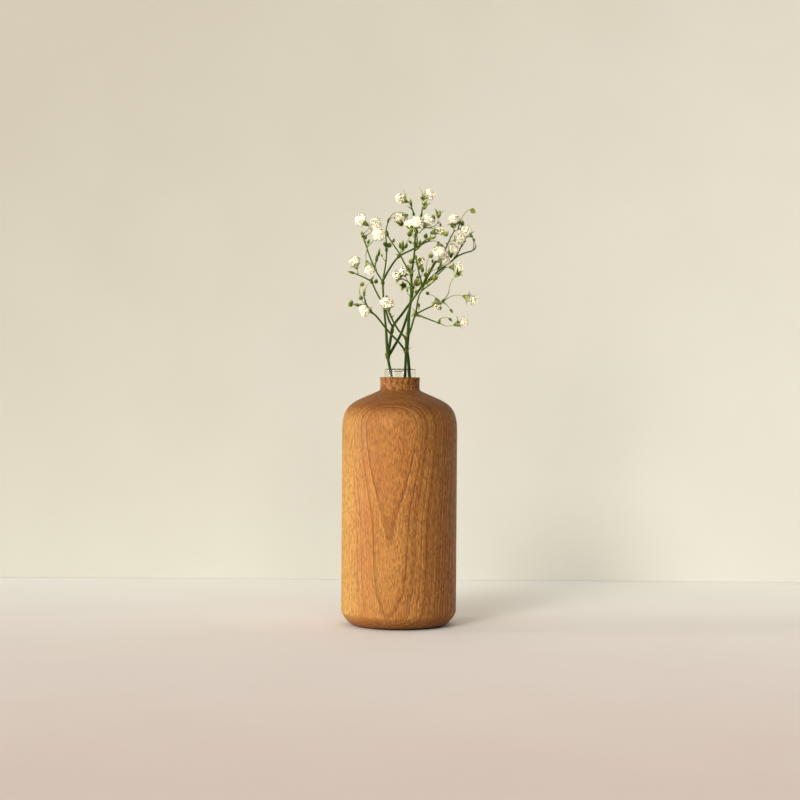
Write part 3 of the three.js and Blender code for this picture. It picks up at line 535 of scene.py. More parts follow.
LEFT_SPRIG = {
  "name": "left_sprig",
  "stem": (1.5, 1.2, 0.1, 0.35),
  "foot": (-1, 2),
  "main": [
    (-4.5, 2, -4), (-5.4, 2.2, 0.5), (-6.4, 3.6, 6), (-7.5, 6.5, 20.5), (-8.5, 8.5, 30.5), (-9.5, 11, 46),
  ],
  "shoots": [
    (TWIG, [(-9.5, 11, 46), (-13, 12.5, 51.5), (-16.5, 14, 59.5), (-18, 15, 64), (-20.5, 16.5, 71)]),
    (PEDICEL, [(-20.5, 16.5, 71), (-18.8, 16.4, 72.4), (-17.2, 16, 74), (-16.9, 15.6, 75.3), (-17.6, 15.2, 75.9)],
     "bloom", 7.4, 0, (-0.8, -0.15, 0.55)),
    (PEDICEL, [(-20.3, 16.4, 70.4), (-18, 20, 71.1), (-14.9, 24, 74.1), (-13.6, 24.6, 76.3)],
     "bloom", 7.4, 0.2, (0, -1, 0.15)),
    (PEDICEL, [(-18, 15, 64), (-15.8, 14.2, 66.5), (-13.2, 13.8, 68.8), (-11.8, 13.4, 69.9)],
     "bloom", 7.6, 0.35, (0, -1, 0.15)),
    (PEDICEL, [(-18.6, 15.4, 65.6), (-19.8, 14.5, 68), (-20, 14.2, 69.3)], "bud", 1.7, 0.3),
    (TWIG, [(-13, 12.5, 51.5), (-13.6, 15, 54.4), (-13, 16.2, 56.8)], "spear", 1.5, 0, (0.15, -0.1, 1)),
    (PEDICEL, [(-13.3, 15.7, 55.8), (-12.3, 16.8, 58.7), (-11.7, 17.4, 60.1)], "spear", 1.4, -0.4, (0.08, 0, 1)),
    (TWIG, [(-9.5, 11, 46), (-8, 14, 55), (-7.5, 16.5, 64), (-8, 18.5, 73), (-6.5, 19.5, 79.5)]),
    (PEDICEL, [(-7.5, 16.3, 63.2), (-8.4, 15.5, 64.2), (-8.4, 15, 65.2)], "bud", 2, 0.2),
    (PEDICEL, [(-7.5, 16.3, 63.2), (-6.3, 16, 64.5)], "bud", 2.3, 0.1, (0.3, -0.4, 1)),
    (PEDICEL, [(-6.5, 19.5, 79.5), (-4.3, 20, 82.4), (-1.6, 20, 83.1), (1.6, 18.6, 83), (3.4, 16.8, 81.6)],
     "bloom", 6.6, 0.3, (-0.85, -0.3, -0.4)),
    (PEDICEL, [(-6.6, 19.4, 79), (-4.8, 18.4, 80.4), (-2.9, 17.6, 79.5)], "pod", 1.3, 0, (0.1, 0, 1)),
    (PEDICEL, [(2.6, 17.7, 82.4), (3.4, 17, 79.5), (2.4, 16, 77.3), (0.8, 15.6, 76.5)],
     "star", 0, 0, (-0.3, -0.9, 0.1)),
    (BRANCH, [(-9.5, 11, 46), (-6, 10, 52.5), (-1, 9, 59), (5.5, 8.5, 62.5), (9, 8.5, 64.5)]),
    (PEDICEL, [(-1, 9, 59), (0.4, 8.6, 61.4), (0.8, 8.4, 62.7)], "spear", 1.7, 0, (0.05, -0.1, 1)),
    (PEDICEL, [(0.4, 8.6, 61.4), (1.9, 8.8, 62.8), (2.5, 9, 63.6)], "pod", 1.6, 0.2, (0.3, 0, 1)),
    (TWIG, [(8.7, 8.5, 64.3), (12.6, 8.6, 66.3), (16, 8.2, 68.3)]),
    (PEDICEL, [(15.7, 8.2, 68.1), (15.5, 7.8, 69.9), (15.9, 7.4, 71.4)], "bloom", 6.4, 0.75, (0.93, -0.2, 0.25)),
    (TWIG, [(8.4, 8.5, 64.2), (8.6, 10, 67.9), (8.2, 10.6, 71.6)], "bud", 2),
    (LIMB, [(-6.4, 3.6, 6), (-4.7, 6, 18), (-4, 7.5, 22), (1, 9.5, 29), (4.5, 10.8, 34), (11.5, 13, 44)]),
    (BRANCH, [(-4, 7.5, 22), (-6, 10, 25.5), (-8, 12.3, 31.5), (-13, 16.5, 41), (-15.5, 18.5, 46.5)]),
    (TWIG, [(-15.5, 18.5, 46.5), (-20, 20.2, 48.8), (-23.3, 21, 50.2), (-24.6, 21.4, 50.8)],
     "spear", 1.3, 0.9, (-0.95, 0, 0.25)),
    (PEDICEL, [(-23.1, 20.9, 50.1), (-23, 23.4, 52.1), (-23.4, 25, 53.5)], "bloom", 6.6, 0.3, (-0.25, -0.5, 0.8)),
    (PEDICEL, [(-15.5, 18.5, 46.5), (-14.2, 20.2, 46), (-13.2, 21.2, 45.6)], "bud", 2.1, 0, (0.1, -0.3, 1)),
    (PEDICEL, [(-17.6, 14.7, 62.8), (-18.5, 17, 60.8), (-18.5, 19, 58.6), (-18.2, 19.5, 57.1)],
     "bloom", 7.2, 0.35, (0.35, -0.3, -0.85)),
    (LIMB, [(-6.4, 3.6, 6), (-3, 6.4, 12), (0, 8.4, 17.5), (3.5, 12, 27.5), (5.5, 15.5, 35), (7, 18.5, 44.5)]),
    (PEDICEL, [(7, 18.5, 44.5), (9.2, 20, 50), (9.7, 20.4, 53.2)], "bloom", 6.6, 0.9),
    (PEDICEL, [(5.5, 15.5, 35), (5.8, 17, 38.2), (5.8, 18, 41.4)], "bud", 1.8),
    (TWIG, [(11.5, 13, 44), (9.6, 10, 51.1), (8, 8, 57.8)], "bud", 2),
    (LIMB, [(11.5, 13, 44), (15.5, 12, 51.5), (18.6, 10, 57)]),
    (PEDICEL, [(12.6, 8.6, 66.3), (15.3, 8.4, 67.1), (17.9, 8, 67.3), (19.7, 7.6, 66.6)],
     "bloom", 8.2, 0, (0.1, -0.3, -0.95)),
    (PEDICEL, [(18.1, 10.3, 56.1), (19.4, 12.8, 56.8)], "bloom", 7, 0, (0.86, -0.35, 0.25)),
    (PEDICEL, [(15.5, 12, 51.5), (17.6, 10.4, 52.2), (19.4, 9.4, 53)], "spear", 1.3, 0.1, (0.85, -0.1, 0.5)),
    (TWIG, [(11.5, 13, 44), (19, 15, 49.5), (23.5, 14, 53.6)]),
    (PEDICEL, [(23.5, 14, 53.6), (24.7, 13.2, 53.8), (25.9, 12.4, 53.8)], "bloom", 6.2, 0.45, (0.95, -0.25, 0)),
    (PEDICEL, [(15.4, 14.2, 46.8), (16, 12, 47), (17.1, 10.6, 47.5)], "bud", 2.2, 0.2),
    (BRANCH, [(11.5, 13, 44), (19.5, 17, 51.5), (27, 20, 57.5), (29.5, 21, 60)]),
    (TWIG, [(29.3, 20.9, 59.8), (32, 20.4, 65.1), (33.1, 19.6, 68), (33.3, 19.4, 69.3)], "bud", 1.7, 0.5),
    (TWIG, [(29.5, 21, 60), (34, 22, 62), (38.5, 23, 63.5), (40, 23.5, 65)]),
    (PEDICEL, [(38.7, 23, 63.6), (38.8, 22.5, 67.4), (37.9, 21.2, 70.7)], "bloom", 7.4, 0.05, (-0.75, -0.5, 0.5)),
    (PEDICEL, [(32, 20.4, 65.1), (33.3, 20.2, 66.4), (33.8, 20, 67.7)], "pod", 1.4, -0.3, (0.1, 0, 1)),
    (PEDICEL, [(40, 23.5, 65), (39.9, 23.8, 67), (39.2, 23, 68.5)], "pod", 1.2, 0),
    (TWIG, [(19.5, 17, 51.5), (22.4, 19.4, 59), (24.6, 21, 66), (28, 22, 73)]),
    (PEDICEL, [(28, 22, 73), (28.3, 21.2, 74.7), (28.2, 20.4, 75.7)], "bloom", 6.8, 0.4, (0, -0.6, 0.85)),
    (PEDICEL, [(26.8, 21.7, 70.7), (28.8, 22.8, 73.8), (30.5, 23.6, 74.6), (32.1, 24.2, 75.8), (32.4, 24.4, 76.9)],
     "bud", 2.5, -0.3),
    (PEDICEL, [(30.5, 23.6, 74.6), (32, 24.4, 79.8), (33.6, 24.6, 82.7), (35.8, 25, 85.1), (37.5, 25, 85.6)],
     "bud", 2.6, 0.3, (0.6, -0.15, -0.6)),
    (PEDICEL, [(25.4, 21.3, 67.8), (27.1, 17.6, 68), (28.6, 14.8, 68.4)], "bloom", 7, 0.7),
    (PEDICEL, [(22.6, 19.6, 59.6), (24, 18.4, 60.1), (25, 17.4, 61.1)], "bloom", 6.8, 0.3),
    (PEDICEL, [(22.2, 19.2, 58.4), (24.6, 20.5, 59.2), (25.7, 21.4, 60)], "bud", 2.6, 0.3),
    (PEDICEL, [(-20.1, 16.2, 69.8), (-20.2, 16, 70.6)], "pod", 1.35, -0.1, (-0.35, -0.1, 1)),
    (PEDICEL, [(-19.4, 15.9, 68), (-18.8, 15.2, 68.6)], "pod", 1.4, -0.1, (0.15, -0.1, 1)),
    (PEDICEL, [(-18.4, 15.2, 65.1), (-17.4, 14.6, 66.2)], "pod", 1.4, -0.1, (0.3, -0.1, 1)),
    (PEDICEL, [(11.5, 13, 44), (12.6, 10.6, 47.4), (13, 10, 48.7)], "bud", 2.2, 0.3, (0.1, -0.3, 1)),
    (PEDICEL, [(10.4, 11.2, 48.1), (11.5, 9.6, 50.3), (11.5, 9.2, 51)], "pod", 1.7, 0.1, (0, -0.2, 1)),
    (PEDICEL, [(13.5, 12.6, 47.8), (14.7, 10.4, 49.8), (14.9, 10, 50.8)], "pod", 1.5, -0.1, (0.1, -0.1, 1)),
    (PEDICEL, [(16.3, 11.6, 52.9), (16.6, 10, 55.3), (16.7, 9.6, 56)], "pod", 1.2, 0.8, (0, -0.1, 1)),
    (PEDICEL, [(-7.8, 14.4, 56.5), (-9.6, 12.6, 58.5), (-9.9, 12.2, 59.2)], "pod", 1.1, -0.2, (-0.2, 0, 1)),
    (PEDICEL, [(-7.5, 16.5, 64), (-7.7, 16.2, 64.8)], "bud", 2.4, -0.1, (-0.2, -0.4, 1)),
    (PEDICEL, [(-0.1, 8.8, 60.4), (-0.3, 9.4, 62.5), (-0.2, 9.4, 63.6)], "pod", 1.7, 0.2, (-0.15, 0, 1)),
    (PEDICEL, [(1.1, 8.7, 62), (2.7, 9, 65.7), (4.3, 9.3, 68.9), (5, 9.4, 69.9)], "bud", 2.4, 0.2, (-0.35, -0.2, 0.9)),
    (PEDICEL, [(31.5, 24, 75.3), (32.6, 24.2, 73.9), (33.3, 24, 71.8)], "bud", 1.6, 0.6),
    (PEDICEL, [(28.8, 22.8, 73.8), (28.2, 20.6, 74.4), (28, 19, 75.4)], "bud", 3, 0.1, (-0.1, -0.5, 0.9)),
    (PEDICEL, [(30.5, 23.6, 74.6), (30.5, 22.4, 76.4), (30.3, 21.8, 77.4)], "bud", 2.3, 0.5, (0, -0.3, 1)),
    (PEDICEL, [(24.2, 20.8, 64.8), (23.2, 20, 64.7), (22.4, 19.4, 65)], "pod", 1.3, 0.2, (-0.6, 0, 0.8)),
    (PEDICEL, [(11.6, 8.6, 65.8), (12.7, 8, 67.8), (12.9, 7.8, 68.8)], "bud", 2.2, 0.3, (0.2, -0.3, 1)),
    (PEDICEL, [(14.9, 8.4, 67.6), (15.6, 7.6, 68.3), (16.1, 7.4, 68.6)], "pod", 1.4, 0.2, (1, -0.2, 0.3)),
    (PEDICEL, [(11.6, 8.6, 65.8), (10.3, 8, 64.9), (9.8, 7.8, 65.2)], "pod", 1.6, -0.2, (0.2, -0.2, 1)),
    (PEDICEL, [(13.5, 12.6, 47.8), (13.6, 11, 54.8), (14.9, 10, 58.5), (15.7, 9.8, 58.7)],
     "bud", 2.4, 0.6, (0.1, -0.3, 1)),
  ],
  "bracts": [
    ((-6.4, 3.6, 6), (-0.7, 0.2, 1), 3, 0.5),
    ((-4, 7.5, 22), (0.75, -0.4, 1), 4, 0.6),
    ((-4, 7.5, 22), (-0.7, 0.1, 1), 4.2, 1),
    ((-9.5, 11, 46), (0.3, -1, 1.2), 3.2, 0.6),
    ((-9.5, 11, 46), (-0.5, -0.3, 1), 2.4, 0.7),
    ((-7.5, 16.5, 64), (-0.6, -0.8, 1), 3, 0.2),
    ((-7.5, 16.5, 64), (0.7, -0.3, 1), 2.4, 0.2),
    ((-18, 15, 64), (0.8, -0.4, 1), 3.2, -0.2),
    ((-18.6, 15.3, 66.5), (-0.6, -0.5, 1), 3.2, -0.2),
    ((-20.2, 16.3, 70), (-0.5, -0.6, 1), 3, 0),
    ((-1, 9, 59), (-0.9, -0.4, 0.9), 3, 0.1),
    ((-1, 9, 59), (-0.5, -0.7, 1), 2.4, 0.4),
    ((-13, 12.5, 51.5), (-0.2, -0.5, 1), 2.6, 0.3),
    ((11.5, 13, 44), (1, -0.8, 0.9), 4, 0.5),
    ((11.5, 13, 44), (0.2, -0.8, 1), 3.2, 0.3),
    ((15.5, 12, 51.5), (0.5, -0.9, 0.8), 2.6, 0.2),
    ((19.5, 17, 51.5), (0.3, -0.9, 0.8), 2.4, 0.3),
    ((29.5, 21, 60), (0.4, -1, 1), 3, 0.2),
    ((24.6, 21, 66), (-0.5, -0.6, 1), 2.2, 0.2),
    ((-15.5, 18.5, 46.5), (0.4, -0.4, 1), 4, 0.8),
    ((-15.5, 18.5, 46.5), (-0.4, 1, 0.8), 3, 0.8),
    ((12.6, 8.6, 66.3), (0.3, -0.8, 1), 2.6, 0.1),
  ],
  "knots": [
    ((-6.5, 4, 6.8), (-0.1, 0.2, 1), 2.5, 5.6, 0.7),
    ((-4.3, 7, 20), (0.1, 0.2, 1), 1.9, 4.4, 0.9),
    ((-9.4, 10.8, 45.4), (-0.1, 0.1, 1), 1.9, 3.6, 0.7),
    ((-15.4, 18.4, 46.2), (-0.4, 0.3, 1), 1.7, 3.4, 0.6),
    ((-1, 9, 59), (1, -0.1, 0.8), 1.6, 2.8, 0.3),
    ((11.4, 12.9, 43.6), (0.7, 0.3, 1), 2.3, 4.4, 0.2),
    ((29.3, 20.9, 59.8), (1, 0.4, 0.9), 1.5, 2.8, 0.4),
    ((-7.6, 16.3, 63), (0, 0.2, 1), 1.5, 3, 0.1),
    ((-6.8, 19.3, 78.6), (0.2, 0.1, 1), 1.1, 3, 0.1),
    ((-7.9, 18.2, 72), (0.1, 0.1, 1), 1.4, 3.4, 0.1),
  ],
}

CENTRE_SPRIG = {
  "name": "centre_sprig",
  "stem": (1.5, 1.35, 0, 0.15),
  "foot": (2.4, -3.8),
  "main": [(2.5, -3.8, -4), (2.8, -4.2, 3), (2.9, -5, 9)],
  "shoots": [
    (BRANCH, [(2.9, -5, 9), (-1, -6.8, 14), (-4.5, -8.2, 17.5), (-8, -10, 21.5), (-12.5, -12.5, 27), (-15, -14, 29)]),
    (TWIG, [(-15, -14, 29), (-17.7, -15, 33.3), (-18.8, -16, 37.4)], "spear", 1.35, -0.2, (0.08, 0, 1)),
    (PEDICEL, [(-17.7, -15, 33.3), (-19.2, -14.6, 34.1), (-19.9, -14.4, 35.5)], "bud", 2.2, -0.2, (-0.5, -0.3, 0.8)),
    (PEDICEL, [(-19.9, -14.4, 35.5), (-20.9, -14.4, 38.2), (-21.1, -14.4, 41), (-20.3, -14.6, 42.5)],
     "bud", 2.1, 0.6, (0.5, -0.3, 0.6)),
    (PEDICEL, [(-15, -14, 29), (-16.6, -15.6, 30), (-17.1, -17, 29.9)], "bloom", 6.6, 0.6),
    (PEDICEL, [(-17.5, -14.9, 32.9), (-20.7, -16.6, 32.8), (-23.3, -17.6, 32.6), (-24.6, -18, 32.5)],
     "bud", 2.3, 0.1, (-0.9, -0.1, 0.15)),
    (PEDICEL, [(-20.2, -16.4, 32.8), (-20.8, -15.6, 32.3), (-21.3, -15.2, 32.3)], "pod", 1.6, -0.4, (-0.9, -0.2, 0.2)),
    (BRANCH, [(2.9, -5, 9), (2.7, -6.4, 15.5), (-1, -8, 20), (-4.5, -10.5, 26), (-5.6, -11.6, 28.6)]),
    (PEDICEL, [(-5.6, -11.6, 28.6), (-5.9, -12.3, 29.6)], "bloom", 7.8, 0.05),
    (PEDICEL, [(-4.3, -10.3, 25.6), (-6.4, -8.8, 29.8), (-7.1, -8.6, 36)], "bud", 1.8, 0.5),
    (PEDICEL, [(-23.3, -17.6, 32.6), (-24.3, -18.6, 32.6), (-25.1, -18.8, 32.8)], "bud", 2.1, -0.3, (-0.1, -0.1, 1)),
    (PEDICEL, [(-18.7, -15.9, 37.1), (-18.3, -16.4, 39.7), (-17.2, -16.6, 42.5), (-16.2, -16.6, 43.8)]),
  ],
  "bracts": [
    ((2.9, -5, 9), (-1, -0.4, 0.35), 2.8, 0.8),
    ((2.9, -5, 9), (0.8, -0.5, 0.3), 1.8, 0.5),
    ((2.7, -6.4, 15.5), (0.4, -1, 1), 3, 0.3),
    ((-15, -14, 29), (-0.2, -0.8, 1.2), 2.6, 0.2),
    ((-4.5, -10.5, 26), (0.6, 0.6, 1), 3, 0.4),
    ((-18, -15, 34), (0.5, -0.5, 1), 2, -0.2),
  ],
  "knots": [
    ((2.9, -5, 9.2), (0, -0.1, 1), 2, 4, 0.7),
    ((2.6, -6.5, 16), (-0.2, -0.3, 1), 1.5, 3, 0.3),
    ((-14.8, -13.9, 28.8), (-1, -0.5, 0.8), 1.2, 2.4, 0.2),
  ],
}

RIGHT_SPRIG = {
  "name": "right_sprig",
  "stem": (1.7, 1.5, 0, 0.4),
  "foot": (2.5, 0.5),
  "main": [
    (5, 0.5, -4), (4.2, 0.5, 5), (3.6, 0, 10), (4, -0.5, 17),
    (4.5, -0.5, 28.5), (5.5, -1, 37.5), (5.6, -1, 49.5),
  ],
  "shoots": [
    (BRANCH, [(5.6, -1, 49.5), (7, -2, 59.5), (7.5, -4, 70.5)]),
    (TWIG, [(7.5, -4, 70.5), (6.9, -3.6, 77), (6.2, -3, 81.5), (4.8, -1.6, 86)]),
    (PEDICEL, [(4.8, -1.6, 86), (4.1, 0, 86.4), (3.1, 1.7, 87.1)], "bloom", 6.4, 0.5, (-0.75, -0.35, 0.35)),
    (PEDICEL, [(5.8, -2.6, 83), (5.5, -2.4, 83.8), (5.3, -2.4, 84.6)], "spear", 1.5, -0.3, (-0.17, 0, 1)),
    (TWIG, [(7.5, -4, 70.5), (9, -3, 75), (10.5, -2, 80), (11.2, -1.6, 84.5)]),
    (PEDICEL, [(11.2, -1.6, 84.5), (12.2, -1.8, 86.3), (11.7, -1.9, 87.6), (11.3, -1.8, 88.5)],
     "bloom", 6.4, 0.1, (0.75, -0.35, 0.5)),
    (PEDICEL, [(11.4, -1.8, 88.3), (10.9, -1.6, 91), (10.3, -1.2, 93.1), (9.7, -1, 94.3)]),
    (PEDICEL, [(10.9, -1.8, 82.3), (11.7, -2.2, 82.9), (12.1, -2.6, 83.3)], "star", 0, 0.4, (0.1, -0.6, 0.8)),
    (PEDICEL, [(7.4, -3.5, 67.7), (6.3, -1, 69.1), (5.8, 0, 71.3)], "bloom", 6.8, 0.1),
    (PEDICEL, [(7.5, -4, 70.5), (7.8, -6, 72.4)], "bloom", 7.6, 0.05),
    (PEDICEL, [(7.5, -3.8, 69.6), (10.4, -6, 71.4), (11.9, -6.8, 73.4)], "bloom", 7, 0.15),
    (PEDICEL, [(9.8, -5.5, 70.9), (13.5, -6.6, 73.9), (16.4, -8, 77)], "bud", 2.5, 0.55, (0.1, -0.3, 1)),
    (PEDICEL, [(12.3, -6.2, 72.9), (16.1, -4.4, 73.6), (18.7, -4.8, 75.2), (19.2, -5.2, 77.2), (19.4, -5.4, 78.6)],
     "star", 0, 0, (0, -0.25, 1)),
    (TWIG, [(7.1, -2.3, 61.3), (9.4, -3.2, 63), (11.5, -4.4, 65.8), (13.5, -5, 67.1)],
     "spear", 1.3, 0.1, (0.9, 0, 0.35)),
    (TWIG, [(5.6, -1, 49.5), (2.2, -1.2, 54.5), (-0.9, -1, 60.3),
            (-4.1, -1, 64.9), (-6.7, -1, 69.1), (-7.6, -1, 71.4)]),
    (TWIG, [(5.6, -1, 41.4), (4.2, -1, 45), (1.8, -0.6, 46.4)]),
    (PEDICEL, [(1.8, -0.6, 46.4), (0.2, -1, 46.9)], "bloom", 6, 0.75, (-0.55, -0.8, 0.3)),
    (PEDICEL, [(3.9, -1, 45.3), (2.3, 4.4, 48.6)], "bloom", 5.8, 0.6, (-0.2, -0.85, 0.5)),
    (PEDICEL, [(5.6, -1, 40.4), (7.5, -2.4, 41.8), (8.4, -3, 43.3)], "bud", 3.4, 0.5, (0.05, -0.3, 1)),
    (PEDICEL, [(5.1, -1, 43), (7.5, -0.8, 45.2), (8.5, -1.2, 46.8)], "bud", 1.8, 0.3),
    (PEDICEL, [(5.7, -1.1, 50.3), (5, -1.8, 53), (5.2, -2.2, 54.9)], "bud", 2.4, -0.1, (0.05, -0.3, 1)),
    (PEDICEL, [(5.4, -1, 42), (3.9, 0.4, 42.4), (2.6, 2.2, 42.7), (1.8, 3.6, 43.5)], "star", 0, 0.5, (-0.1, -1, -0.1)),
    (BRANCH, [(4, -0.5, 17), (5.4, -1.2, 20.5), (7, -2, 26), (8, -2.5, 28.5)]),
    (TWIG, [(8, -2.5, 28.5), (12.6, -4.4, 30.8), (17.5, -6, 33), (22, -8, 35)]),
    (PEDICEL, [(22, -8, 35), (26.1, -8.8, 37.5), (29.2, -9.2, 38.1), (32.6, -9.5, 37.7)],
     "bloom", 6.8, 0.9, (0.9, -0.25, -0.35)),
    (PEDICEL, [(22, -8, 35), (24.5, -10, 38.7), (25.9, -11.8, 44.8), (28.3, -12.8, 47.8)],
     "star", 0, 0.2, (0.45, -0.7, 0.5)),
    (PEDICEL, [(22, -8, 35), (24.3, -10.4, 32.5), (25.8, -11.4, 30.7)], "pod", 1.35, 0.2, (0.5, -0.1, -0.8)),
    (PEDICEL, [(20.5, -7.3, 34.3), (19.7, -9.8, 35.9), (18.5, -12, 36)], "bloom", 5, 1, (0.05, -0.3, -0.95)),
    (PEDICEL, [(19, -6.6, 33.7), (18.4, -5.4, 36.5), (16.9, -4.6, 38), (14.6, -3.8, 38.9)],
     "bud", 1.7, 0.1, (-0.8, -0.2, 0.5)),
    (TWIG, [(8, -2.5, 28.5), (11.4, -5.8, 27), (15, -9, 25.5), (20, -13, 23.5)]),
    (PEDICEL, [(20, -13, 23.5), (23.9, -15.4, 22), (27.8, -16.6, 22.6)], "bloom", 6.6, 0.9, (0.92, -0.25, 0.3)),
    (PEDICEL, [(20, -13, 23.5), (20.8, -15.6, 25.8), (23.1, -17.4, 26.4), (24.9, -18, 25.9)],
     "pod", 1.35, 0.2, (0.7, 0, -0.7)),
    (TWIG, [(8, -2.5, 28.5), (9, -6, 35.5), (10.4, -8.4, 39.5), (16, -11.8, 44)]),
    (PEDICEL, [(16, -11.8, 44), (17.2, -12.6, 45.5)], "pod", 1.9, 0.5, (0.1, -0.2, 1)),
    (PEDICEL, [(11.1, -8.9, 40.3), (10.5, -10.6, 42.2), (10, -11.4, 43.7)], "bud", 1.6, 0.2),
    (PEDICEL, [(14, -10.7, 42.5), (15.2, -10, 44.3), (15.7, -9.6, 45.9)], "bud", 2, 0.4),
    (PEDICEL, [(16.1, -11.9, 44.1), (17.2, -12, 44.9), (18, -12, 46)], "pod", 1.5, -0.2, (0.5, -0.2, 1)),
    (PEDICEL, [(13.3, -5.7, 73), (18.1, -8, 72.3), (21.2, -8.6, 70.2), (22.5, -8.8, 69.1)],
     "bud", 2.7, -0.1, (0.5, -0.4, 0.5)),
    (PEDICEL, [(5.6, -1, 48.5), (4.1, -1.6, 50.4), (4, -2, 51.4)], "pod", 1.6, 0.1, (-0.1, -0.1, 1)),
    (PEDICEL, [(6.9, -1.9, 58.7), (8.7, -2.6, 56.8), (9.3, -3, 56.3)], "bud", 1.8, 0.1, (0.7, -0.3, 0.6)),
    (PEDICEL, [(7.4, -3.3, 66.8), (6, -4.2, 65), (5.5, -4.4, 65.2)], "pod", 1.3, 0.1, (-0.7, -0.1, 0.6)),
    (PEDICEL, [(5.4, -0.9, 35.9), (7.3, -3, 37.8), (8, -3.6, 39.1)], "bud", 1.9, 0.5, (0.2, -0.3, 1)),
    (PEDICEL, [(11.1, -8.9, 40.3), (12.3, -10, 42.7), (13.1, -10.4, 43.7)], "pod", 1.4, 0.1, (0.5, -0.2, 1)),
    (PEDICEL, [(5.5, -1, 37.5), (3.8, -1.8, 39.1), (3.6, -2, 40.2)], "pod", 1.1, 0.3, (-0.1, 0, 1)),
    (PEDICEL, [(4.6, -1.1, 86.1), (2.7, -1.8, 88), (2, -1.8, 90.9), (1.5, -1.6, 93)]),
    (PEDICEL, [(11.7, -1.9, 87.6), (11, -2.6, 87.8), (10.8, -2.8, 88.2)], "bud", 1.5, 0.5, (-0.2, -0.3, 1)),
    (PEDICEL, [(12.2, -1.8, 86.3), (12.9, -1.4, 86.8)], "bud", 1.2, 0.6, (0.3, -0.2, 1)),
    (PEDICEL, [(-4.6, -1, 65.6), (-3.8, -1.4, 65.9)], "pod", 1.2, 0.3, (0.1, 0, 1)),
    (PEDICEL, [(20.4, -7.5, 34.4), (20.6, -7.6, 33.1), (20.6, -7.8, 32.3)], "pod", 1.2, 0.4, (0.05, -0.1, -1)),
    (PEDICEL, [(18.8, -4.8, 75.3), (20, -5.2, 76.3), (20.4, -5.4, 75.3)], "pod", 1, 0.5, (0.1, 0, -1)),
    (PEDICEL, [(8.5, -4.6, 32.7), (9.8, -4.4, 30.8), (9.7, -4.2, 32.2)], "pod", 1.2, 0.1, (-0.1, 0, 1)),
  ],
  "bracts": [
    ((3.6, 0, 10), (1, -0.3, 0.6), 3.2, 0.4),
    ((4, -0.5, 17), (-0.6, -0.6, 1), 3, 0.3),
    ((8, -2.5, 28.5), (0.9, -0.6, -0.9), 4, 0.6),
    ((8, -2.5, 28.5), (0.2, 0.9, 1), 3, 0.3),
    ((7.4, -2.2, 28.6), (-0.35, -0.6, 1), 4.6, -0.7),
    ((6, -1.3, 27), (0.2, -0.6, 1), 3.6, -0.8),
    ((5.6, -1, 49.5), (0.9, -0.6, 1), 4, 0.2),
    ((5.6, -1, 49.5), (-0.3, -0.5, 1), 5, -0.2),
    ((5.5, -1, 48), (0.2, -0.7, 1), 4.4, -0.1),
    ((6.2, -1.4, 54), (0.7, -0.4, 1), 3, 0.3),
    ((22, -8, 35), (0.5, 0.3, -0.8), 2.4, 0.1),
    ((22, -8, 35), (0.2, 1, 1), 2.6, 0.1),
    ((24.6, -10.1, 38.6), (0.4, -0.3, 1), 1.6, 0),
    ((20, -13, 23.5), (0.1, -0.3, 1), 3.2, 0),
    ((20, -13, 23.5), (0.5, 0.6, 0.8), 2.4, 0.1),
    ((7.5, -4, 70.5), (-0.6, 0.6, 1), 3.5, 0.1),
    ((7.5, -4, 68.5), (-0.7, -0.5, 0.9), 3, 0.1),
    ((7.2, -3.2, 66), (0.7, -0.5, 1), 3, 0.2),
    ((6.9, -3.6, 77), (-0.5, -0.3, 1), 2.6, 0),
    ((5.4, -2.6, 82.6), (-0.8, 0.5, 0.9), 4.4, -0.1),
    ((9, -3, 75), (0.5, -0.4, 1), 2.2, 0.1),
  ],
  "knots": [
    ((5.6, -1, 49.3), (0, -0.1, 1), 2, 4.4, 0.2),
    ((7.9, -2.4, 28.3), (0.4, -0.2, 1), 1.7, 4, 0.1),
    ((4, -0.5, 17.2), (0.1, -0.1, 1), 1.7, 3.6, 0.3),
    ((3.6, 0, 10), (0, -0.1, 1), 1.8, 3.6, 0.4),
    ((6.9, -3.3, 78.6), (-0.2, 0.1, 1), 1.5, 8, -0.1),
    ((10.4, -2.1, 79.4), (0.3, 0.2, 1), 1.2, 5, 0.1),
    ((21.8, -7.9, 34.9), (1, -0.4, 0.5), 1.3, 2.6, 0.1),
    ((19.8, -12.8, 23.6), (1, -0.7, -0.3), 1.2, 2.6, 0.1),
    ((-7.2, -1, 70.4), (-0.3, 0, 1), 1.5, 4.4, 0.1),
    ((7.3, -3.2, 65), (0, -0.1, 1), 1.5, 4, 0.1),
  ],
}


def stem_foot(x, y):
    """Where a stem's cut end leans on the round bottom of the tube."""
    reach = math.hypot(x, y) + STEM_CUT_D / 2
    depth = math.sqrt((TUBE_INNER_R - STEM_FOOT_GAP) ** 2 - reach ** 2)
    return (x, y, TUBE_D / 2 - depth - TUBE_L)


def stem_skin(foot, main, thick, thin, old, young):
    """The main stem: straight inside the tube, then along its route, in one unbroken tube."""
    points = np.concatenate([line(stem_foot(*foot), main[0], 24), route_points(main)])
    share = np.linspace(0, 1, len(points))
    swell = np.exp(-(np.linalg.norm(points - points[-1], axis=1) / NODE_LENGTH) ** 2)
    width = np.interp(share, (0, *STEM_THINS, 1), (thick, thick, thin, STEM_TIP * thin))
    radius = width / 2 * (1 + NODE_SWELLING * swell)
    finish = np.stack([old + (young - old) * share, NODE_SCALE * swell, 0 * share], axis=-1)
    return tube_skin(points, radius, STEM_SIDES, finish)


def raised(skins):
    """The skins moved up from the origin to the centre of the tube's rim."""
    return [(vertices + (0, 0, RIM_Z), *rest) for vertices, *rest in skins]


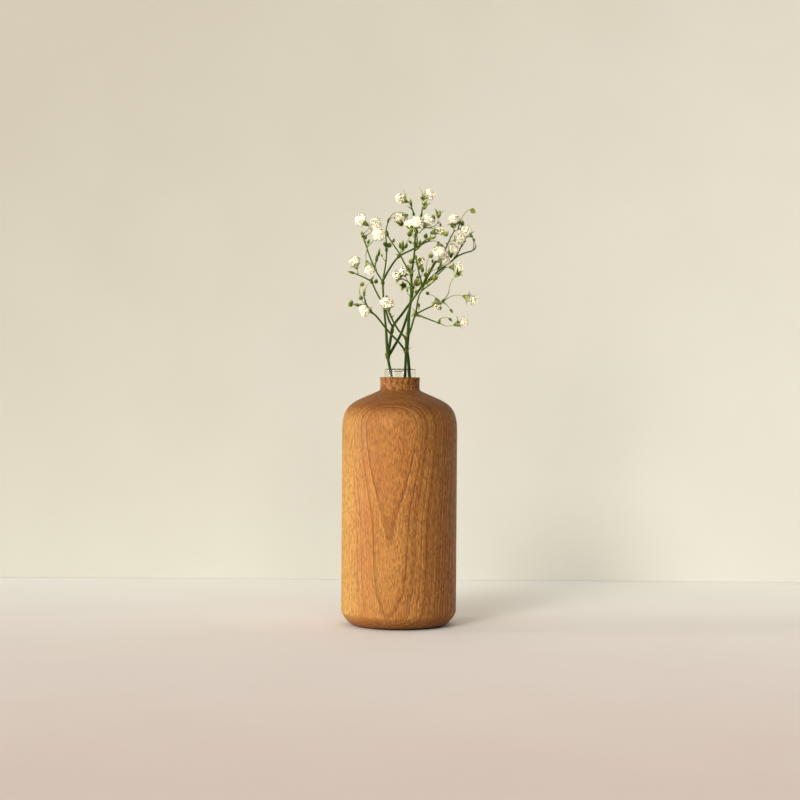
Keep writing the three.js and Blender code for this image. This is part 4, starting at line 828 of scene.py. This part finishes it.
def sprig(table, seed, green_material, petal_material):
    """The green parts of a sprig as one piece, and a piece for each of its flowers."""
    name = table["name"]
    rng = np.random.default_rng(seed)
    green = [stem_skin(table["foot"], table["main"], *table["stem"])]
    blooms = []
    for kind, route, *tip in table["shoots"]:
        green.append(shoot_skin(kind, route))
        points = route_points(route)
        if kind in (TWIG, PEDICEL):
            outward = unit(points[1] - points[0]) + LEAFLET_SPREAD * rng.standard_normal(3)
            length, brown = rng.uniform(*LEAFLET_L), rng.uniform(*LEAFLET_BROWN)
            green.append(bract_skin(points[0], outward, length, brown, LEAFLET_ROWS))
        if not tip:
            continue
        what, width, tone, facing = (*tip, *(0, None)[len(tip) - 2:])
        at, turn = points[-1], rng.uniform(0, FULL_TURN)
        direction = unit(points[-1] - points[-2] if facing is None else np.array(facing, float))
        if what == "bloom":
            size = CALYX_SIZE + CALYX_GROWTH * tone
            green.append(calyx_skin(at, direction, turn, size))
            green.append(sepals_skin(at, direction, turn, size, SEPAL_L, SEPAL_SPREAD, SEPAL_BROWN * tone, rng))
            blooms.append([heart_skin(width, at, direction, turn, tone), bloom_skin(width, at, direction, tone, rng)])
        elif what == "star":
            green.extend(star_skins(at, direction, turn, tone, rng))
        else:
            green.append(bud_skin(what, width, at, direction, turn, tone, rng))
    green.extend(bract_skin(*bract) for bract in table["bracts"])
    green.extend(knot_skin(*knot) for knot in table["knots"])
    mesh_piece(name + "_green", name, green_material, raised(green), [name + "_stem"])
    for number, skins in enumerate(blooms, start=1):
        node = f"{name}_bloom_{number}"
        mesh_piece(node + "_petals", name, petal_material, raised(skins), [node])


# Materials

def srgb(red, green, blue):
    """A screen colour of 0 to 255 as linear light: ((c + 0.055) / 1.055) to the power 2.4, or c / 12.92 when dark."""
    c = np.array([red, green, blue]) / 255
    return (*np.where(c > 0.04045, ((c + 0.055) / 1.055) ** 2.4, c / 12.92).tolist(), 1.0)


class Value:
    """A node's output that adds, subtracts, multiplies and divides like a number. Each sign makes a node."""

    def __init__(self, shader, socket):
        self.shader, self.socket = shader, socket

    def __add__(self, other):
        return self.shader.math("ADD", self, other)

    def __sub__(self, other):
        return self.shader.math("SUBTRACT", self, other)

    def __mul__(self, other):
        return self.shader.math("MULTIPLY", self, other)

    def __truediv__(self, other):
        return self.shader.math("DIVIDE", self, other)


class Shader:
    """A node tree, with a call for each kind of node in use. An input is a Value or a plain number, vector or colour,
    and every call but feed and node gives Values back."""

    def __init__(self, tree):
        self.tree = tree

    def feed(self, node, inputs):
        """Set the node's inputs, each given by name or number, or link Values to them."""
        for name, value in inputs.items():
            if isinstance(value, Value):
                self.tree.links.new(value.socket, node.inputs[name])
            else:
                node.inputs[name].default_value = value

    def node(self, kind, inputs, **settings):
        """A new node with its settings and inputs."""
        node = self.tree.nodes.new(kind if kind.startswith("Node") else "ShaderNode" + kind)
        for name, value in settings.items():
            setattr(node, name, value)
        self.feed(node, inputs)
        return node

    def outs(self, kind, inputs, **settings):
        """All outputs of a new node."""
        return [Value(self, socket) for socket in self.node(kind, inputs, **settings).outputs]

    def out(self, output, kind, inputs, **settings):
        """One output of a new node, by name or number."""
        return Value(self, self.node(kind, inputs, **settings).outputs[output])

    def math(self, operation, *values):
        """The result of one arithmetic operation."""
        return self.out(0, "Math", dict(enumerate(values)), operation=operation)

    def vector(self, operation, *values):
        """The result of one operation on vectors, a number where it measures one."""
        output = "Value" if operation in ("LENGTH", "DOT_PRODUCT") else "Vector"
        return self.out(output, "VectorMath", dict(enumerate(values)), operation=operation)

    def smooth(self, value, low, high, start=0.0, end=1.0):
        """A smooth step from start, where the value is low or less, to end, where it is high or more."""
        inputs = {"Value": value, "From Min": low, "From Max": high, "To Min": start, "To Max": end}
        return self.out("Result", "MapRange", inputs, interpolation_type="SMOOTHSTEP")

    def mix(self, factor, first, second):
        """The first colour where the factor is nought, the second where it is one."""
        return self.out(2, "Mix", {0: factor, 6: first, 7: second}, data_type="RGBA")

    def layers(self, base, *layers):
        """The screen colour base with further colours laid over it in turn, each by its mask."""
        colour = srgb(*base)
        for mask, paint in layers:
            colour = self.mix(mask, colour, srgb(*paint))
        return colour

    def noise(self, where, detail, rough=0.5):
        """Noise with features about a unit wide."""
        return self.out("Fac", "TexNoise", {"Vector": where, "Scale": 1.0, "Detail": detail, "Roughness": rough})

    def bump(self, height, distance, strength):
        """The surface's normal over a relief that is a distance in metres deep."""
        return self.out("Normal", "Bump", {"Height": height, "Distance": distance, "Strength": strength})

    def ray(self, kind):
        """One where the view comes by this kind of ray, else nought."""
        return self.out(f"Is {kind} Ray", "LightPath", {})

    def group(self, group, **inputs):
        """The output of a shared node group."""
        return self.out(0, "Group", inputs, node_tree=group)


def shared_group(name, inputs, output, build):
    """A node group whose one output is what the function build makes of its inputs, here names and kinds."""
    tree = bpy.data.node_groups.new(name, "ShaderNodeTree")
    for label, kind in inputs.items():
        tree.interface.new_socket(label, in_out="INPUT", socket_type="NodeSocket" + kind)
    tree.interface.new_socket(output, in_out="OUTPUT", socket_type="NodeSocketFloat")
    s = Shader(tree)
    s.node("NodeGroupOutput", {output: build(s, *s.outs("NodeGroupInput", {})[:len(inputs)])})
    return tree


def patch_mask(s, place, stretch, low, high):
    """Soft patches: noise at a stretch along each axis, drawn out between two levels."""
    return s.smooth(s.noise(s.vector("MULTIPLY", place, stretch), 3.0, 0.55), low, high)


def dash_mask(s, place, stretch, width, share):
    """Short dashes: cells drawn out along one axis, each holding a dash of a width, with a share of them left in."""
    where = s.vector("MULTIPLY", place, stretch)
    distance, cell_colour = s.outs("TexVoronoi", {"Vector": where, "Scale": 1.0})[:2]
    chance = s.out(0, "SeparateColor", {0: cell_colour})
    return s.smooth(distance, width * 0.45, width, 1.0, 0.0) * s.math("LESS_THAN", chance, share)


def material(name):
    """A new material, its nodes, its Principled shader, and the place of a point on the piece in millimetres."""
    made = bpy.data.materials.new(name)
    made.use_nodes = True
    s = Shader(made.node_tree)
    place = s.vector("MULTIPLY", s.out("Object", "TexCoord", {}), (1000, 1000, 1000))
    return made, s, made.node_tree.nodes["Principled BSDF"], place


FIGURE_TURN = math.radians(8.8)
PITH_AWAY = 200.0
PITH = (-PITH_AWAY * math.sin(FIGURE_TURN), -PITH_AWAY * math.cos(FIGURE_TURN), 0.0)
RING_WIDTH = 1.8
RING_START = 167.65
TRUNK_TAPER = 0.055
TRUNK_SWELL = 0.5
SWELL_LENGTH = 75.0
SWELL_Z = 60.0


def beech_material(patches, dashes):
    """Oiled beech. The year rings are cones round a distant pith in front: the distance from it less the trunk's taper
    times the height, plus a slow swell of the trunk, is cut into rings; a wobble across the grain makes their lines
    wavy. Each ring darkens towards its late wood, ends in a thin dark line and starts anew light. Rays show as short
    dark upright dashes, with fine pores and slow changes of tone. End grain and the neck are darker. Light and shade
    are painted on by place too: the golden left side is partly the wood's figure and partly a painted highlight; the
    right side, the upper sides and the wood left of the middle carry painted shade; a painted contact shadow darkens
    the foot."""
    made, s, shader, place = material("oiled_beech")
    x, _, height = s.outs("SeparateXYZ", {0: place})
    from_middle = s.math("ABSOLUTE", x)
    wobble = s.noise(s.vector("MULTIPLY", place, (0.12, 0.12, 0.22)), 3.0) - 0.5
    flat = s.vector("SUBTRACT", s.vector("MULTIPLY", place, (1, 1, 0)), PITH)
    flat = s.vector("ADD", flat, s.out("Vector", "CombineXYZ", {"X": wobble * 3.0}))
    swell = s.math("COSINE", (height - SWELL_Z) * (2 * math.pi / SWELL_LENGTH))
    bend = s.noise(s.vector("MULTIPLY", place, (0.05, 0.05, 0.02)), 1.0) - 0.5
    depth = s.vector("LENGTH", flat) - height * TRUNK_TAPER + swell * TRUNK_SWELL + bend * 0.8
    rings = (depth - RING_START) / RING_WIDTH
    within = s.math("FRACT", rings)
    chance = s.out("Value", "TexWhiteNoise", {"W": s.math("FLOOR", rings)}, noise_dimensions="1D")
    chance = s.math("MAXIMUM", chance, s.smooth(s.math("ABSOLUTE", rings), 0.95, 1.0, 1.0, 0.0))
    steady = s.group(patches, Place=place, Stretch=(0.09, 0.09, 0.05), Low=0.35, High=0.6)
    ringed = (chance * 0.9 + 0.1) * (steady * 0.5 + 0.5) * s.smooth(rings, -0.97, -0.9)
    edge = s.smooth(within, 0.72, 0.92) * s.smooth(within, 0.95, 1.0, 1.0, 0.0)
    late = (s.math("POWER", s.smooth(within, 0.3, 0.97), 2.0) * 0.25 + edge * 0.44) * ringed
    early = s.smooth(within, 0.0, 0.3, 1.0, 0.0) * ringed * s.smooth(rings, -0.3, 0.0)
    bands = s.out("Fac", "TexNoise", {"W": rings * 0.9 + 3.0, "Scale": 1.0, "Detail": 1.0}, noise_dimensions="1D")
    bands = s.smooth(bands, 0.4, 0.6) * s.smooth(x, -4.0, 12.0)
    grain = s.out("Vector", "Mapping", {"Vector": place, "Rotation": (0, 0, FIGURE_TURN)})
    rays = s.group(dashes, Place=grain, Stretch=(1.3, 0.25, 0.33), Width=0.5, Share=0.6)
    fibre = s.group(patches, Place=grain, Stretch=(2.1, 0.9, 0.34), Low=0.41, High=0.59)
    tone = s.group(patches, Place=place, Stretch=(0.06, 0.06, 0.02), Low=0.35, High=0.65)
    blot = s.group(patches, Place=place, Stretch=(0.5, 0.5, 0.6), Low=0.42, High=0.6)
    facing = s.outs("SeparateXYZ", {0: s.out("Normal", "TexCoord", {})})[2]
    end_grain = s.smooth(s.math("ABSOLUTE", facing), 0.15, 0.8, 0.0, 0.78)
    neck = s.smooth(height, 112.0, 124.0, 0.0, 0.7)
    # painted highlight: the golden base colour shows only on the left side, partly the wood's figure and partly painted
    # light from the side
    brown = s.smooth(x, -27.5, -18.0) * 0.7 + tone * 0.25 + s.smooth(rings, -0.2, 0.3, 1.0, 0.0) * 0.12
    # painted shade: the right side is painted up to half darker, a little less near the floor
    painted_far_side_shade = s.smooth(x, 6.0, 26.0, 0.0, 0.5) * s.smooth(height, 0.0, 50.0, 0.84, 1.0)
    # painted shade: the upper body is painted darker towards its left and right sides
    painted_upper_side_shade = s.smooth(height, 72.0, 106.0, 0.0, 0.24) * s.smooth(from_middle, 5.0, 13.0)
    # End grain and the neck are darker, with blotches.
    end_grain_and_neck_dark = s.math("MAXIMUM", end_grain * (blot * 0.12 + 0.8), neck * (blot * 0.85 + 0.38))
    # painted contact shadow: the lowest 1.7 mm of the wood is painted near black, more on the right
    foot = s.smooth(height, 0.5, 1.7, 1.0, 0.0) * s.smooth(x, -25.0, 5.0, 0.5, 0.95)
    colour = s.layers(
        (212, 164, 84),
        (brown, (196, 130, 66)),
        (painted_far_side_shade, (112, 68, 32)),
        # painted shade: the wood left of the middle is painted up to a fifth darker
        (s.smooth(x, -9.0, -1.0, 0.2, 0.0), (130, 80, 40)),
        (painted_upper_side_shade, (124, 74, 32)),
        (bands * 0.42, (110, 64, 30)),
        (end_grain_and_neck_dark, (96, 46, 16)),
        (early * s.smooth(x, -4.0, 4.0, 0.35, 0.75), (220, 162, 94)),
        (late * (end_grain * 0.5 + 0.8), (84, 42, 16)),
        (rays * 0.4, (104, 54, 22)),
        (fibre * s.smooth(x, -22.0, 8.0, 0.34, 0.52), (108, 58, 24)),
        (foot, (30, 20, 10)),
    )
    relief = fibre * -0.5 - (rays + late * 0.6)
    s.feed(shader, {"Base Color": colour, "Roughness": rays * 0.1 + 0.5, "Specular IOR Level": 0.12,
                    "Normal": s.bump(relief, 0.00006, 0.5)})
    return made


PAINTED_RIM_LINE_H = 0.45
PAINTED_RIM_LINE_FADE_H = 0.8


def glass_material(patches):
    """Clear glass with a breath of dust that dulls it here and there, and a dark line painted round the top of its rim
    as painted shade for the dark edge the rim shows.
    """
    made, s, shader, place = material("clear_glass")
    up = s.outs("SeparateXYZ", {0: place})[2]
    # painted shade: a dark brown band in the top 0.8 mm of the glass stands for the dark line along the rim
    rim = s.smooth(up, RIM_Z - PAINTED_RIM_LINE_FADE_H, RIM_Z - PAINTED_RIM_LINE_H)
    dust = s.group(patches, Place=place, Stretch=(0.3, 0.3, 0.2), Low=0.5, High=0.8)
    s.feed(shader, {"Base Color": s.mix(rim, (0.955, 0.96, 0.92, 1), (0.14, 0.11, 0.08, 1)),
                    "Transmission Weight": 1.0, "IOR": 1.3, "Specular IOR Level": 0.2, "Roughness": dust * 0.05})
    return made


def finish_values(s):
    """The piece's three surface values."""
    return s.outs("SeparateColor", {0: s.out("Color", "Attribute", {}, attribute_name="finish")})


def green_material(patches):
    """Stems, leaves, buds and calyxes: dark green to yellow green by youth, brown where dry, pale at the edges."""
    made, s, shader, place = material("plant_green")
    youth, scale, pale = finish_values(s)
    mottle = s.group(patches, Place=place, Stretch=(1.6, 1.6, 0.8), Low=0.4, High=0.7)
    colour = s.layers(
        (22, 50, 0),
        (s.smooth(youth, 0.0, 0.55), (72, 100, 8)),
        (s.smooth(youth, 0.5, 1.0), (176, 188, 84)),
        (mottle * 0.3, (34, 52, 0)),
        (scale * 0.7, (104, 66, 30)),
        (pale, (226, 224, 178)),
    )
    s.feed(shader, {"Base Color": colour, "Roughness": mottle * 0.15 + 0.45, "Specular IOR Level": 0.12,
                    "Normal": s.bump(mottle, 0.00003, 0.4)})
    return made


def petal_material(patches):
    """White petals: greenish and darker at the foot, partly painted shade deep in the flower, cream to white towards
    the tip, some with a breath of pink, with small darker patches of painted shade for the folds.
    """
    made, s, shader, place = material("petal_white")
    reach, blush, shade = finish_values(s)
    painted_fold_shade = s.group(patches, Place=place, Stretch=(2.4, 2.4, 2.4), Low=0.4, High=0.7)
    # painted shade: the darker greenish foot colour stands partly for shade deep in the flower, and the patches for
    # shade in the folds
    colour = s.layers(
        (188, 192, 152),
        (s.smooth(reach, 0.05, 0.4), (194, 191, 172)),
        (s.smooth(reach, 0.5, 0.9), (200, 198, 183)),
        (blush * 0.35, (226, 196, 174)),
        (shade * 0.85, (196, 190, 164)),
        (painted_fold_shade * 0.12, (200, 190, 158)),
    )
    shader.subsurface_method = "BURLEY"
    s.feed(shader, {"Base Color": colour, "Roughness": 0.7, "Specular IOR Level": 0.2, "Subsurface Weight": 1.0,
                    "Subsurface Radius": (1.0, 1.0, 1.0), "Subsurface Scale": 0.012})
    return made


# The vase and its flowers

patches = shared_group("patches", {"Place": "Vector", "Stretch": "Vector", "Low": "Float", "High": "Float"}, "Patch",
                       patch_mask)
dashes = shared_group("dashes", {"Place": "Vector", "Stretch": "Vector", "Width": "Float", "Share": "Float"}, "Dash",
                      dash_mask)
beech = beech_material(patches, dashes)
glass = glass_material(patches)
green = green_material(patches)
petal = petal_material(patches)

mesh_piece("turned_body", "wooden_body", beech, [lathe(body_profile(), BODY_SIDES)], ["wooden_body"])
mesh_piece("test_tube", "glass_tube", glass, [lathe(tube_profile(), TUBE_SIDES)], ["glass_tube"])
for seed, table in enumerate((LEFT_SPRIG, CENTRE_SPRIG, RIGHT_SPRIG), start=FIRST_SEED):
    sprig(table, seed, green, petal)


# Floor and wall, seen from their front only

def stage_material(name, near, far, slope, middle):
    """A pale matt paint that shades from near to far as the place times the slope, plus a middle value, goes from 0
    to 1, with faint patches. From behind it lets the view through, but no light."""
    made, s, shader, place = material(name)
    faint = s.out("Fac", "TexNoise", {"Vector": place, "Scale": 0.015, "Detail": 3.0})
    share = s.vector("DOT_PRODUCT", place, slope) + middle + (faint - 0.5) * 0.25
    s.feed(shader, {"Base Color": s.layers(near, (share, far)), "Roughness": 0.95, "Specular IOR Level": 0.1})
    view = s.math("MAXIMUM", s.ray("Camera"), s.math("MAXIMUM", s.ray("Glossy"), s.ray("Transmission")))
    behind = s.out("Backfacing", "NewGeometry", {}) * view
    paint, clear = Value(s, shader.outputs[0]), s.out(0, "BsdfTransparent", {})
    s.feed(made.node_tree.nodes["Material Output"], {"Surface": s.out(0, "MixShader", {0: behind, 1: paint, 2: clear})})
    return made


def stage_sheet(name, corners, paint):
    """One flat sheet of the stage."""
    mesh = bpy.data.meshes.new(name)
    mesh.from_pydata(corners, [], [(0, 1, 2, 3)])
    mesh.materials.append(paint)
    sheet = bpy.data.objects.new(name, mesh)
    bpy.context.scene.collection.objects.link(sheet)


STAGE_REACH = 4
WALL_Y = 0.212
FLOOR_Z = -0.0001
left, right = -STAGE_REACH, STAGE_REACH
stage_sheet("floor", [(left, left, FLOOR_Z), (right, left, FLOOR_Z), (right, right, FLOOR_Z), (left, right, FLOOR_Z)],
            stage_material("floor_paint", (232, 216, 209), (246, 243, 237), (0, 0.0018, 0), 0.68))
# painted light and shade: the wall paint is darker towards the top and the left and lighter towards the lower right
stage_sheet("wall", [(left, WALL_Y, 0), (right, WALL_Y, 0), (right, WALL_Y, right), (left, WALL_Y, right)],
            stage_material("wall_paint", (199, 194, 178), (224, 222, 209), (0.0011, 0, -0.0017), 0.78))


# Light and camera

NEAR_WHITE = (1.0, 0.99, 0.965)


def sun(name, left, up, spread, strength):
    """A far soft lamp: degrees to the left of the camera, degrees above the floor, degrees across, and strength."""
    light = bpy.data.lights.new(name, "SUN")
    light.energy, light.angle, light.color = strength, math.radians(spread), NEAR_WHITE
    lamp = bpy.data.objects.new(name, light)
    azimuth, elevation = math.radians(left), math.radians(up)
    ray = Vector((math.sin(azimuth) * math.cos(elevation), math.cos(azimuth) * math.cos(elevation),
                  -math.sin(elevation)))
    lamp.rotation_euler = ray.to_track_quat("-Z", "Y").to_euler()
    bpy.context.scene.collection.objects.link(lamp)


sun("window", 88, 2, 20, 3.5)
sun("window_corner", 55, 2, 24, 1.2)
sun("key", 31, 21, 16, 0.75)
sun("key_low", 23, 19, 24, 0.72)
sun("key_high", 33, 32, 26, 0.36)
sun("room_right", -13, 12, 16, 0.28)
sun("ceiling", 0, 75, 60, 0.7)

ROOM_COLOUR = (0.93, 0.92, 0.88, 1)
ROOM_GLOW = 0.03
ROOM_SEEN = 0.6
world = bpy.data.worlds.new("room")
world.use_nodes = True
room = Shader(world.node_tree)
room.feed(world.node_tree.nodes["Background"],
          {"Color": ROOM_COLOUR, "Strength": room.ray("Camera") * ROOM_SEEN + ROOM_GLOW})
bpy.context.scene.world = world

CAMERA_AWAY = 0.966
CAMERA_Z = 0.1291
CAMERA_ROLL = math.radians(-0.37)
PIXELS_TO_POINT = 1851.6
IMAGE = 800
HORIZON_ROW = 377
camera = bpy.data.cameras.new("camera")
camera.sensor_fit = "HORIZONTAL"
camera.angle = 2 * math.atan(IMAGE / 2 / PIXELS_TO_POINT)
viewer = bpy.data.objects.new("camera", camera)
viewer.location = (0, -CAMERA_AWAY, CAMERA_Z)
pitch = math.atan((IMAGE / 2 - HORIZON_ROW) / PIXELS_TO_POINT)
viewer.rotation_euler = (math.pi / 2 - pitch, CAMERA_ROLL, 0)
bpy.context.scene.collection.objects.link(viewer)
bpy.context.scene.camera = viewer
bpy.context.scene.view_settings.view_transform = "Standard"
